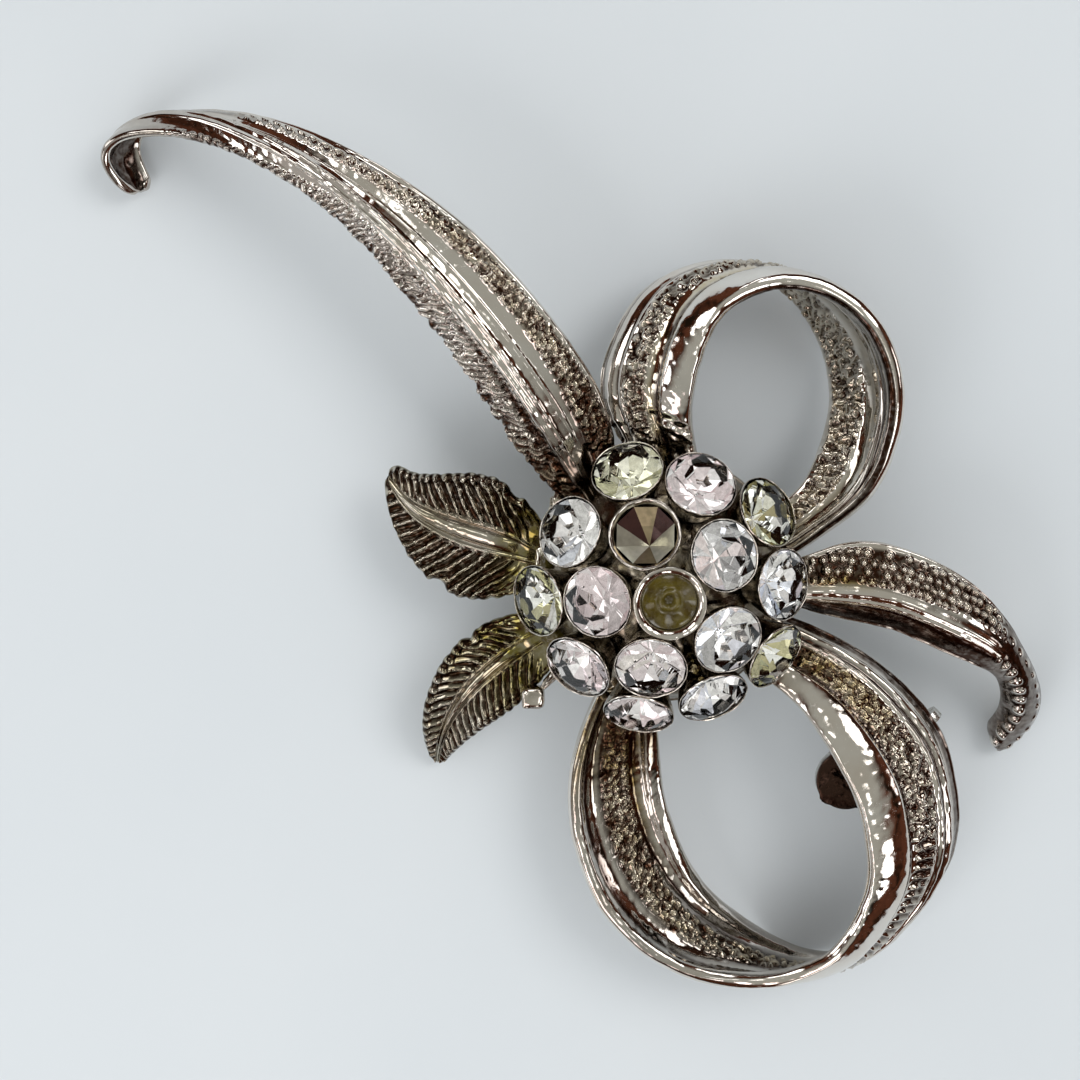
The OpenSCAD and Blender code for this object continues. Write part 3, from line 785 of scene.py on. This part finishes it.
def build_stones():
    """Each stone is turned, tilted and moved a little at random in its cup."""
    rng = np.random.default_rng(SEED)
    foil = facet_mirror("stone_foil", 0.04, 1.0)
    glass = {look: stone_glass(f"stone_{look}", tint) for look, tint in GLASS_TINTS.items()}
    for number, look in STONE_LOOKS.items():
        verts, faces = chaton(rng.uniform(0, 45))
        colours, shares = zip(*FOIL_LOOKS[look])
        pick = rng.choice(len(colours), FOIL_FACETS, p=np.array(shares, float) / sum(shares))
        shade = rng.uniform(0.88, 1.0, FOIL_FACETS)
        lean = rot_z(rng.uniform(0, 360)) @ rot_y(rng.uniform(1, 3.5))
        slip = np.append(rng.uniform(-SLACK, SLACK, 2), -GIRDLE_DROP)
        corners, kinds, groups = zip(*faces)
        part = at_cup(number - 1)(verts @ lean.T + slip), list(corners), NO_TONES
        obj = make_piece(f"chaton_{number:02d}", f"stone_{number:02d}", part, "stone_glass",
                         False, [glass[look], foil], kinds)
        paint(obj, [np.array(colours[pick[g]]) * shade[g] if kind else np.ones(3)
                    for kind, g in zip(kinds, groups)])


def paint(obj, colours):
    """One colour for each face, in the attribute facet."""
    layer = obj.data.color_attributes.new("facet", "FLOAT_COLOR", "CORNER")
    values = np.ones((len(obj.data.loops), 4), np.float32)
    for poly, colour in zip(obj.data.polygons, colours):
        values[poly.loop_start:poly.loop_start + poly.loop_total, :3] = colour
    layer.data.foreach_set("color", values.ravel())


def build_foil():
    """Eight-sided foil cone. Its panels are painted light and dark as reflections, tinted with the tan
    and olive of the old foil.
    """
    # Painted reflections: dark panels for a dark room mirrored in the cone, pale panels for light
    # mirrored from above
    tones = [(0.05, 0.02, 0.016), (0.36, 0.29, 0.17), (0.06, 0.022, 0.018), (0.5, 0.48, 0.38),
             (0.72, 0.7, 0.58), (0.25, 0.2, 0.13), (0.75, 0.73, 0.6), (0.55, 0.52, 0.4)]
    a = np.radians(22.5 - CUP_PLACES[FOIL_CUP][0] + 45 * np.arange(8))
    rings = [(0.9, -1.02), (1.78, -0.4), (1.78, -0.46), (0.9, -1.1)]
    verts = np.vstack([circle(r, z, a) for r, z in rings] + [[[0, 0, -1.62], [0, 0, -1.7]]])
    # The foil has sagged, so that its point lies towards the middle of the cluster
    verts[:, 0] -= 0.4 * smoothstep(-verts[:, 2], 0.5, 1.7)
    faces = skin_faces(len(rings), 8)
    part = at_cup(FOIL_CUP)(verts), faces, NO_TONES
    obj = make_piece("foil_cone", "foil_back", part, "foil_mirror", False)
    paint(obj, [np.array(tones[k % 8]) for k in range(len(faces))])


def build_glue():
    """Hardened glue: what was pressed out by the leaves, and the seat of the lost middle stone."""
    profile = smooth_profile([
        (0, -1.7, 0.6, 0), (0.6, -1.55, 0.6, 0), (1.2, -1.0, 0.6, 0), (1.58, -0.62, 0.6, 0),
        (1.63, -0.5, 0.5, 0), (1.45, -0.56, 0.3, 0), (1.1, -0.78, 0.2, 0), (0.78, -0.98, 0.2, 0),
        (0.6, -0.9, 0, 0), (0.46, -0.88, 0, 0), (0.32, -1.0, 0.3, 0), (0.2, -1.12, 0.8, 0),
        (0, -1.16, 0.9, 0),
    ])

    def wobble(turn, r, z):
        swell = smoothstep(z, -1.3, -1.1) * smoothstep(r, 1.7, 1.4) * disc_noise(turn, r, 0.4, 401)
        return 0.05 * swell, 0.07 * swell

    seat = moved(revolve(profile, 72, wobble), at_cup(GLUE_CUP))
    make_piece("glue_ring", "glue_residue", seat, "old_glue")

    places = [((-6.7, -1.1, 6.1), (0.8, 1.7, 0.5), 5), ((-6.3, -3.5, 6.0), (0.8, 1.2, 0.45), 25),
              ((-6.7, 1.6, 6.2), (0.6, 1.0, 0.45), -15), ((-7.4, -2.6, 5.95), (0.9, 0.7, 0.3), 20)]
    drops = [lump(*place, 470 + 5 * k, 0.16, 40, 26) for k, place in enumerate(places)]
    make_piece("glue_smear", None, joined(*drops), "old_glue")


def build_dome():
    """Domed shell under the cups, rough from casting and solder."""

    def dome(r, count, grime_and_shade, stain):
        edge = math.acos((HUB_TOP - DOME_Z) / r)
        return [(r * math.sin(t), r * math.cos(t) + DOME_Z, grime_and_shade, stain)
                for t in np.linspace(0, edge, count)]

    def wobble(turn, r, _):
        swell = 0.09 * disc_noise(turn, r, 0.9, 411) + 0.05 * disc_noise(turn, r, 0.35, 412) - 0.06
        fade = smoothstep(r, 7.4, 7.0)
        return swell * fade * r / DOME_R, swell * fade * 0.8

    shell = dome(DOME_R, 60, 0.68, 0.6) + dome(DOME_R - DOME_WALL, 24, 1, 0.4)[::-1]
    make_piece("dome_shell", "dome_base", revolve(shell, DISC_SEGS, wobble), "setting_metal")


def build_hub_plate():
    """Round back plate with a rolled edge and a shallow dished underside."""
    profile = smooth_profile([
        (0, 4.52, 0.4, 0.3), (3.5, 4.52, 0.45, 0.3), (6.2, 4.5, 0.5, 0.3), (6.7, 4.42, 0.3, 0.2),
        (7.3, 4.41, 0.1, 0.1), (7.56, 4.55, 0, 0.1), (7.6, 4.8, 0.1, 0.2), (7.54, 5.08, 0.5, 0.4),
        (7.3, 5.19, 0.8, 0.4), (5, 5.19, 1, 0.4), (0, 5.19, 1, 0.4),
    ])

    def wobble(turn, r, z):
        dents = 0.03 * disc_noise(turn, r, 1.1, 421) + 0.02 * disc_noise(turn, r, 0.4, 422) + 0.03
        return 0 * r, smoothstep(z, 4.7, 4.5) * dents

    make_piece("hub_disc", "hub_plate", revolve(profile, DISC_SEGS, wobble), "setting_metal")


def lump(middle, size, turn, seed, rough=0.16, segs=48, rows=32):
    """A rounded, uneven blob of metal. size holds its half lengths."""
    lat = np.linspace(0, math.pi, rows + 2)[1:-1, None]
    lon = np.linspace(0, 2 * math.pi, segs, endpoint=False)[None, :]
    d = np.stack([np.sin(lat) * np.cos(lon), np.sin(lat) * np.sin(lon), np.cos(lat) + 0 * lon], -1)
    pts = np.vstack([d.reshape(-1, 3), [0, 0, 1], [0, 0, -1]])
    x, y = pts[:, 0] * 2.2 + 0.9 * pts[:, 2], pts[:, 1] * 2.2 - 0.7 * pts[:, 2]
    swell = 1 + rough * noise(x, y, seed) + 0.5 * rough * noise(2.7 * x, 2.7 * y, seed + 1)
    tones = [0.45 - 0.6 * (swell - 1) / rough, 0.45 + 0.4 * noise(x * 1.3, y * 1.3, seed + 3)]
    verts = (pts * swell[:, None] * np.asarray(size)) @ rot_z(turn).T + np.asarray(middle)
    return verts, skin_faces(rows, segs), np.clip(np.stack(tones, -1), 0, 1)


def build_small_castings():
    """Side lug with its arm, the filler grain, and the solder at the ribbons' roots."""
    lug_at = np.array([-7.8, -7.1, 6.0])

    def boxy(verts):
        return lug_at + np.sign(verts - lug_at) * np.abs(verts - lug_at) ** 0.5 * 0.8

    lug = moved(lump(lug_at, (0.78, 0.74, 0.66), 20, 431, 0.1, 32, 24), boxy)
    arm = lump((-6.4, -5.6, 5.95), (1.5, 0.34, 0.32), 47, 433, 0.14)
    verts, faces, tones = joined(lug, arm)
    make_piece("lug_cast", "side_lug", (verts, faces, tones * [0.5, 0.25]), "setting_metal")

    axis = rot_z(-69) @ rot_y(27.5) @ np.array([0, 0, 1.0])
    middle, stalk = (np.array([0, 0, DOME_Z]) + axis * (DOME_R + out) for out in (1.5, 0.6))
    bead = lump(middle, (0.42, 0.38, 0.38), 10, 441, 0.14, 32, 24)
    foot = lump(stalk, (0.3, 0.3, 0.9), 0, 443, 0.14, 32, 24)
    verts, faces, tones = joined(bead, foot)
    tones[:, 1] = 1
    make_piece("grain_cast", "filler_bead", (verts, faces, tones), "setting_metal")

    roots = [
        ((-3.6, 6.4, 5.7), (2.2, 1.1, 0.55), 30), ((-0.2, 6.9, 5.4), (1.8, 0.7, 0.45), -5),
        ((7.1, 0.2, 5.7), (1.0, 1.5, 0.45), 0), ((6.3, 3.0, 5.7), (1.1, 0.9, 0.4), 60),
        ((6.2, -3.9, 5.5), (1.0, 1.6, 0.45), -30), ((-2.2, -6.7, 5.7), (1.7, 0.8, 0.45), 12),
        ((-6.9, 0.9, 5.6), (0.8, 1.5, 0.45), 0), ((-6.7, -2.9, 5.5), (0.9, 1.4, 0.45), 20),
        ((-5.6, 4.3, 5.6), (1.0, 1.2, 0.4), 40),
    ]
    verts, faces, tones = joined(*(lump(*root, 450 + 5 * k, 0.22) for k, root in enumerate(roots)))
    make_piece("solder_roots", None, (verts, faces, tones * [0.4, 1]), "setting_metal")


# ---- pin back

PIN_AT = np.array([1.5, 1.5, 1.95])
PIN_TURN = -45
HINGE_S, CATCH_S, TIP_S = -10.0, 17.2, 20.0
BAR_LOW, BAR_HIGH = 1.65, 2.45
PIN_R = 0.4
WORN_EDGE_MM, SHARP_DEG = 0.07, 40


def at_pin(verts):
    """Moves points from the pin's frame, with x along the pin and 0 on its axis."""
    return np.asarray(verts, float) @ rot_z(PIN_TURN).T + PIN_AT


def along_pin(verts):
    """Turns a solid of revolution so that its axis runs along the pin, and places it."""
    return at_pin(verts[:, [2, 0, 1]])


def across_pin(verts):
    """Turns a solid of revolution so that its axis runs across the pin, at the hinge."""
    return at_pin(verts[:, [0, 2, 1]] + [HINGE_S, 0, 0])


def prism(outline, low, high, bevel, middle=None):
    """A plate with rounded edges. The middle sees the whole outline."""
    pts = np.asarray(outline, float)
    middle = pts.mean(axis=0) if middle is None else middle
    edge = unit(np.roll(pts, -1, axis=0) - np.roll(pts, 1, axis=0))
    inward = np.stack([-edge[:, 1], edge[:, 0]], -1)
    if np.sum(inward * (middle - pts)) < 0:
        inward = -inward
    quarter = [(bevel * (1 - math.sin(t)), bevel * (1 - math.cos(t)))
               for t in np.linspace(0, math.pi / 2, 4)]
    rows = [(inset, low + rise) for inset, rise in quarter]
    rows += [(inset, high - rise) for inset, rise in quarter[::-1]]
    rings = [np.column_stack([pts + inward * inset, np.full(len(pts), z)]) for inset, z in rows]
    verts = np.vstack(rings + [[[*middle, low], [*middle, high]]])
    return verts, skin_faces(len(rows), len(pts)), np.full((len(verts), 2), 0.1)


def arc(cx, cy, r, a0, a1, count):
    """Points on a circle from the angle a0 to a1, in degrees."""
    a = np.radians(np.linspace(a0, a1, count))
    return [(cx + r * math.cos(t), cy + r * math.sin(t)) for t in a]


def build_pin_bar():
    """Stamped bar with a round pad, a pressed rib, two ears and solder round the pad."""
    half_w, corner_r, ear_r, ear_t, ear_y = 1.5, 0.5, 1.15, 0.5, 0.95
    start = HINGE_S - 1.3 + corner_r
    pad_r, tongue_r, tongue_y = 3.2, 1.9, 3.0
    strip_turn = math.degrees(math.asin(half_w / pad_r))
    tongue_turn = math.degrees(math.acos(tongue_r / pad_r))
    # Strip's end, pad, tongue and the rest of the pad, in one outline
    plate = (arc(start, half_w - corner_r, corner_r, 90, 180, 6)
             + arc(start, corner_r - half_w, corner_r, 180, 270, 6)
             + arc(CATCH_S, 0, pad_r, 180 + strip_turn, 180 + tongue_turn, 8)
             + arc(CATCH_S, -tongue_y, tongue_r, 180, 360, 33)
             + arc(CATCH_S, 0, pad_r, 360 - tongue_turn, 540 - strip_turn, 45))
    rib = arc(-6.5, 0, 0.55, 90, 270, 14) + arc(11.5, 0, 0.55, -90, 90, 14)
    dimple = arc(CATCH_S - 2.2, 0, 0.45, 0, 360, 33)[:-1]
    parts = [
        prism(plate, BAR_LOW, BAR_HIGH, 0.15, (CATCH_S, 0)),
        prism(rib, BAR_LOW - 0.12, BAR_LOW + 0.3, 0.1),
        prism(dimple, BAR_LOW - 0.08, BAR_LOW + 0.3, 0.06),
        lump((CATCH_S + 0.2, -3.4, BAR_HIGH), (1.5, 1.3, 0.22), 15, 495, 0.3),
    ]
    ear = arc(HINGE_S, 0, ear_r, -180, 0, 25)
    ear += [(HINGE_S + ear_r, BAR_LOW + 0.1), (HINGE_S - ear_r, BAR_LOW + 0.1)]
    for y in (-ear_y, ear_y):
        verts, faces, tones = prism(ear, -ear_t / 2, ear_t / 2, 0.08)
        parts.append((verts[:, [0, 2, 1]] + [0, y, 0], faces, tones))
    verts, faces, tones = moved(joined(*parts), at_pin)
    # Painted shade: the whole upper side, which lies against the brooch's underside, is painted dark, the
    # solder round the pad with it
    tones[:, 0] = 0.95 * smoothstep(verts[:, 2], 4.2, 4.35) + 0.05
    make_piece("bar_stamped", "pin_bar", (verts, faces, tones), "pin_steel")


def build_pin_stem():
    """Drawn wire stem with a flattened eye and a ground point."""
    wire = [(0, -9.3, 0.4, 0.2), (0.3, -9.3, 0.4, 0.2), (0.6, -9.2, 0.3, 0.2), (0.62, -8.9, 0.2, 0.1),
            (0.46, -8.55, 0.1, 0), (PIN_R, -8.3, 0, 0)]
    wire += [(PIN_R, s, 0, 0) for s in np.linspace(-7, 15.4, 24)]
    wire += [(r, TIP_S - left, 0, 0)
             for r, left in ((0.33, 2.0), (0.25, 1.2), (0.14, 0.5), (0.05, 0.1), (0, 0.02))]
    half_eye = [(0, 0.64, 0.4, 0.2), (0.84, 0.64, 0.3, 0.1), (0.96, 0.58, 0, 0), (0.995, 0.46, 0, 0)]
    eye = [(r, -z, *tones) for r, z, *tones in half_eye] + [(0.995, 0, 0, 0)] + half_eye[::-1]
    stem = joined(moved(revolve(wire, 32), along_pin), moved(revolve(eye, 48), across_pin))
    make_piece("stem_wire", "pin_stem", stem, "pin_steel")


def build_rivet():
    """Peened rivet with two domed heads."""
    half, shank_r = 1.2, 0.4
    head = [(0, 0.24), (0.3, 0.22), (0.55, 0.14), (0.68, 0.04), (0.69, 0), (0.6, 0)]
    profile = [(r, -half - z, 0.1, 0) for r, z in head]
    profile += [(shank_r, 0.05 - half, 0.8, 0.2), (shank_r, half - 0.05, 0.8, 0.2)]
    profile += [(r, half + z, 0.1, 0) for r, z in reversed(head)]
    rivet = moved(revolve(profile, 40), across_pin)
    make_piece("rivet_peened", "hinge_rivet", rivet, "pin_steel")


def finish_cad_metal():
    """Gives the precise CAD pieces worn edges and their metal, without changing their meshes."""
    for name in ("catch_ring", "lock_barrel"):
        obj = frame["nodes"][name]
        obj.data.materials.clear()
        obj.data.materials.append(finishes["pin_steel"])
        weld = obj.modifiers.new("weld", "WELD")
        weld.merge_threshold = 1e-6
        bevel = obj.modifiers.new("bevel", "BEVEL")
        bevel.width = WORN_EDGE_MM * MM
        bevel.segments = 3
        bevel.limit_method = "ANGLE"
        bevel.angle_limit = math.radians(SHARP_DEG)
        bevel.use_clamp_overlap = True


# ---- finishes


class Nodes:
    """Short ways to add nodes to one tree. A value is a number, a colour or another node's output."""

    def __init__(self, tree):
        self.tree = tree

    def feed(self, socket, value):
        if isinstance(value, bpy.types.NodeSocket):
            self.tree.links.new(value, socket)
        else:
            socket.default_value = (*value, 1) if isinstance(value, tuple) else value

    def add(self, kind, inputs=None, **settings):
        """A new node. inputs holds values by name or number."""
        node = self.tree.nodes.new(kind)
        for key, value in settings.items():
            setattr(node, key, value)
        for key, value in (inputs or {}).items():
            self.feed(node.inputs[key], value)
        return node

    def ranged(self, value, from_lo, from_hi, to_lo=0, to_hi=1, **settings):
        inputs = {"Value": value, "From Min": from_lo, "From Max": from_hi,
                  "To Min": to_lo, "To Max": to_hi}
        return self.add("ShaderNodeMapRange", inputs, **settings).outputs["Result"]

    def eased(self, value, lo, hi):
        return self.ranged(value, lo, hi, interpolation_type="SMOOTHSTEP")

    def maths(self, operation, a, b):
        node = self.add("ShaderNodeMath", {0: a, 1: b}, operation=operation, use_clamp=True)
        return node.outputs["Value"]

    def mix(self, factor, a, b, blend_type="MIX"):
        inputs = {"Factor": factor, "A": a, "B": b}
        node = self.add("ShaderNodeMix", inputs, data_type="RGBA", blend_type=blend_type)
        return node.outputs["Result"]


class Finish(Nodes):
    """One material. Its noise is set in the object's own coordinates."""

    def __init__(self, name):
        self.mat = bpy.data.materials.new(name)
        self.mat.use_nodes = True
        super().__init__(self.mat.node_tree)
        self.shader = self.tree.nodes["Principled BSDF"]
        self.place = self.add("ShaderNodeTexCoord").outputs["Object"]

    def attribute(self, name, output="Fac"):
        return self.add("ShaderNodeAttribute", attribute_name=name).outputs[output]

    def noise(self, per_mm, detail, *span, rough=0.5):
        """Noise with per_mm features in a millimetre, stretched by span as in ranged."""
        inputs = {"Scale": per_mm / MM, "Detail": detail, "Roughness": rough, "Vector": self.place}
        value = self.add("ShaderNodeTexNoise", inputs).outputs["Fac"]
        return self.ranged(value, *span) if span else value

    def bump(self, height, strength, distance_mm):
        inputs = {"Strength": strength, "Distance": distance_mm * MM, "Height": height}
        self.feed(self.shader.inputs["Normal"], self.add("ShaderNodeBump", inputs).outputs["Normal"])

    def done(self, **inputs):
        """The material, with these inputs of its shader. Underscores stand for spaces."""
        for key, value in inputs.items():
            self.feed(self.shader.inputs[key.replace("_", " ")], value)
        return self.mat


def plated_metal(name, silver, warm, grime_and_shade_colour, gold, rough=(0.05, 0.11)):
    """Aged plating: clean on the heights, dark brown where the points are marked dark, which is soiling
    in the hollows and painted shade and painted reflection on some smooth faces, and gold tone where
    attribute stain says.
    """
    n = Finish(name)
    tone = n.mix(n.noise(0.45, 4, 0.35, 0.7), silver, warm)
    patch = n.noise(1.6, 4, 0.3, 0.7, 0.4, 1.25, rough=0.6)
    tone = n.mix(n.maths("MULTIPLY", n.attribute("stain"), patch), tone, gold)
    dirt_and_shade = n.maths("MULTIPLY", n.attribute("grime_and_shade"), n.noise(3.0, 3, 0.3, 0.7, 0.82, 1.12))
    base = n.noise(2.2, 5, 0.3, 0.75, rough[0] - 0.03, rough[0] + 0.07)
    dull = n.maths("ADD", base, n.ranged(dirt_and_shade, 0, 1, 0, rough[1] - rough[0]))
    n.bump(n.noise(5.0, 4, rough=0.6), 0.35, 0.012)
    return n.done(Base_Color=n.mix(dirt_and_shade, tone, grime_and_shade_colour), Metallic=1.0, Roughness=dull)


def stone_glass(name, tint):
    """Clear glass, slightly paler in places."""
    n = Finish(name)
    tone = n.mix(n.noise(0.5, 2, 0.3, 0.7), tint, tuple(min(1, c * 1.06) for c in tint))
    return n.done(Base_Color=tone, Transmission_Weight=1.0, IOR=1.56,
                  Roughness=n.noise(1.5, 4, 0.4, 0.75, 0.0, 0.06))


def facet_mirror(name, rough, metal):
    """Silvered facets whose tones come from the attribute facet."""
    n = Finish(name)
    spots = n.noise(2.5, 4, 0.3, 0.75, 1.0, 0.72)
    return n.done(Base_Color=n.mix(1.0, n.attribute("facet", "Color"), spots, "MULTIPLY"),
                  Metallic=metal, Roughness=n.noise(3, 3, 0.3, 0.7, rough * 0.6, rough * 1.5))


def old_glue(name):
    """Yellow-green glue, darker where attribute cavity says."""
    n = Finish(name)
    tone = n.mix(n.noise(1.1, 4, 0.35, 0.65), (0.13, 0.1, 0.012), (0.06, 0.042, 0.006))
    tone = n.mix(n.maths("MULTIPLY", n.attribute("grime_and_shade"), 0.8), tone, (0.025, 0.016, 0.004))
    n.bump(n.noise(3.5, 4), 0.4, 0.02)
    return n.done(Base_Color=tone, Roughness=n.noise(3.0, 3, 0.3, 0.7, 0.12, 0.4),
                  Coat_Weight=0.5, Coat_Roughness=0.1)


def pin_steel(name):
    """Plated steel with fine polishing lines, small dull spots, and painted shade where the points are
    marked dark.
    """
    n = Finish(name)
    spots = n.noise(1.3, 5, 0.56, 0.68, 0, 0.8, rough=0.65)
    tone = n.mix(spots, (0.66, 0.65, 0.62), (0.3, 0.25, 0.19))
    # Painted shade: dark brown where the points are marked dark, as on the bar's upper side under the
    # brooch
    tone = n.mix(n.attribute("grime_and_shade"), tone, (0.05, 0.028, 0.02))
    dull = n.maths("ADD", n.noise(4.0, 4, 0.3, 0.7, 0.16, 0.3), n.maths("MULTIPLY", spots, 0.3))
    n.bump(n.noise(7.0, 3), 0.3, 0.008)
    return n.done(Base_Color=tone, Metallic=1.0, Roughness=dull)


def table_surface(name):
    """Pale matt table top. It can be seen through from below, so that the back can be looked at."""
    n = Finish(name)
    tone = n.mix(n.noise(0.03, 3, 0.3, 0.7), (0.70, 0.735, 0.76), (0.735, 0.765, 0.785))
    n.done(Base_Color=tone, Roughness=0.55, Specular_IOR_Level=0.25)
    under = n.add("ShaderNodeNewGeometry").outputs["Backfacing"]
    clear = n.add("ShaderNodeBsdfTransparent").outputs["BSDF"]
    join = n.add("ShaderNodeMixShader", {0: under, 1: n.shader.outputs["BSDF"], 2: clear})
    n.feed(n.tree.nodes["Material Output"].inputs["Surface"], join.outputs["Shader"])
    return n.mat


# ---- stage

WALL_DARK, WALL_BROWN = (0.012, 0.007, 0.004), (0.1, 0.036, 0.02)
CEILING = (0.41, 0.41, 0.375)
DOME_COLOUR = (0.66, 0.675, 0.68)
STONE_GLOW = (1.5, 1.49, 1.45)
GLOW_SHARE = 0.52
# Windows as (direction, radius in degrees, colour)
WINDOWS = [
    ((-0.68, -0.55, 0.45), 26, (0.42, 0.4, 0.38)), ((0.5, 0.39, 0.77), 12, (4.5, 4.45, 4.4)),
    ((-0.55, 0.45, 0.7), 10, (3.6, 3.6, 3.6)), ((-0.35, -0.55, 0.76), 9, (3.2, 2.75, 2.7)),
    ((0.62, -0.42, 0.66), 9, (3.4, 3.4, 3.4)), ((-0.88, -0.1, 0.46), 10, (2.9, 2.9, 2.95)),
    ((0.05, 0.86, 0.5), 10, (3.0, 3.0, 3.0)), ((0.93, 0.05, 0.36), 6, (2.2, 2.0, 1.95)),
    ((-0.22, 0.12, 0.97), 5, (2.4, 2.4, 2.4)), ((0.26, -0.2, 0.94), 4.5, (2.4, 2.35, 2.3)),
    ((-0.7, -0.62, 0.34), 6, (2.4, 2.3, 2.3)), ((-0.97, 0.18, 0.17), 8, (2.8, 2.7, 2.65)),
    ((0.12, -0.88, 0.46), 8, (3.0, 2.9, 2.85)), ((-0.54, -0.34, 0.77), 5, (3.8, 3.7, 3.6)),
]
# Where a window's edge starts and ends, in its own radius
WINDOW_EDGE = (1.15, 0.8)
TABLE_HALF_M = 2.0
CAMERA_AT, CAMERA_LEAN = (-0.002272, 0.023255, 0.128025), -10
LENS_MM, SENSOR_MM = 69.33, 36


def build_table():
    mesh = bpy.data.meshes.new("table_top")
    corners = [(x * TABLE_HALF_M, y * TABLE_HALF_M, 0) for x, y in ((-1, -1), (1, -1), (1, 1), (-1, 1))]
    mesh.from_pydata(corners, [], [(0, 1, 2, 3)])
    obj = new_object("table_top", mesh)
    mesh.materials.append(table_surface("table"))


def soft_light(name, place_mm, size_mm, watts, colour):
    """A square light that faces the origin and isn't mirrored."""
    data = bpy.data.lights.new(name, "AREA")
    data.shape = "SQUARE"
    data.size = size_mm * MM
    data.energy = watts
    data.color = colour
    obj = new_object(name, data)
    obj.location = Vector(place_mm) * MM
    obj.rotation_euler = (-Vector(place_mm)).to_track_quat("-Z", "Y").to_euler()
    obj.visible_glossy = False
    obj.visible_transmission = False


def build_lights():
    soft_light("window", (340, 260, 520), 300, 1.15, (1.0, 0.985, 0.97))
    soft_light("fill", (-150, -150, 160), 160, 0.2, (0.98, 0.99, 1.0))


def build_room():
    """Lights the scene by a plain pale dome. Metal and glass mirror a dark room with small windows."""
    world = bpy.data.worlds.new("room")
    bpy.context.scene.world = world
    world.use_nodes = True
    world.cycles.sampling_method = "NONE"
    n = Nodes(world.node_tree)
    direction = n.add("ShaderNodeTexCoord").outputs["Generated"]
    patches = n.add("ShaderNodeTexNoise", {"Vector": direction, "Scale": 2.6, "Detail": 2.0})
    height = n.add("ShaderNodeSeparateXYZ", {"Vector": direction}).outputs["Z"]
    total = n.mix(n.eased(patches.outputs["Fac"], 0.34, 0.6), WALL_DARK, WALL_BROWN)
    total = n.mix(n.eased(height, 0.6, 0.9), total, CEILING)
    for toward, radius, colour in WINDOWS:
        inputs = {0: direction, 1: Vector(toward).normalized()}
        near = n.add("ShaderNodeVectorMath", inputs, operation="DOT_PRODUCT").outputs["Value"]
        lo, hi = (math.cos(math.radians(radius * k)) for k in WINDOW_EDGE)
        total = n.mix(n.eased(near, lo, hi), total, colour)

    path = n.add("ShaderNodeLightPath").outputs
    mirrored = n.maths("MAXIMUM", path["Is Glossy Ray"], path["Is Transmission Ray"])
    # The stones' foil gathers light from the whole room, so what leaves them sees it paler
    paler = n.maths("MULTIPLY", path["Is Transmission Ray"], GLOW_SHARE)
    total = n.mix(paler, total, STONE_GLOW)
    n.feed(n.tree.nodes["Background"].inputs["Color"], n.mix(mirrored, DOME_COLOUR, total))


def build_camera():
    """The photo's view, from above with a slight lean."""
    data = bpy.data.cameras.new("camera")
    data.lens, data.sensor_width = LENS_MM, SENSOR_MM
    data.clip_start, data.clip_end = 0.005, 10
    obj = new_object("camera", data)
    obj.location = CAMERA_AT
    obj.rotation_euler = (math.radians(CAMERA_LEAN), 0, 0)
    bpy.context.scene.camera = obj


# ---- the brooch

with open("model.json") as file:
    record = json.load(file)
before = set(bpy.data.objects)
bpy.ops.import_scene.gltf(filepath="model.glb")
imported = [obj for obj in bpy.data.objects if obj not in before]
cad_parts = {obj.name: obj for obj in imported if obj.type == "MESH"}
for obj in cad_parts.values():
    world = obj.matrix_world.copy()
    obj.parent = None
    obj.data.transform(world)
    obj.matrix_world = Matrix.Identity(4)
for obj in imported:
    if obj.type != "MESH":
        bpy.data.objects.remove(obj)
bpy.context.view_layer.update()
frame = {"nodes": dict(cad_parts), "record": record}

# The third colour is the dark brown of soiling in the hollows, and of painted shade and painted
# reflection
SILVER, WARM, DARK_GRIME_AND_SHADE = (0.78, 0.75, 0.7), (0.71, 0.65, 0.58), (0.04, 0.017, 0.009)
# Each slot's material, but for the stones
finishes = {
    "ribbon_metal": plated_metal("ribbon_plating", SILVER, WARM, DARK_GRIME_AND_SHADE, (0.52, 0.4, 0.16)),
    "leaf_metal": plated_metal("leaf_plating", (0.66, 0.62, 0.54), (0.5, 0.45, 0.34),
                               (0.022, 0.01, 0.005), (0.27, 0.23, 0.06)),
    "setting_metal": plated_metal("setting_plating", SILVER, WARM, (0.035, 0.021, 0.015),
                                  (0.32, 0.26, 0.09), (0.06, 0.26)),
    "pin_steel": pin_steel("pin_plating"),
    "foil_mirror": facet_mirror("old_foil", 0.14, 0.55),
    "old_glue": old_glue("glue_old"),
}
for build in (build_ribbons, build_cups, build_stones, build_foil, build_glue, build_dome,
              build_hub_plate, build_small_castings, build_pin_bar, build_pin_stem, build_rivet,
              finish_cad_metal, build_table, build_room, build_lights, build_camera):
    build()
bpy.context.scene.view_settings.view_transform = "Standard"
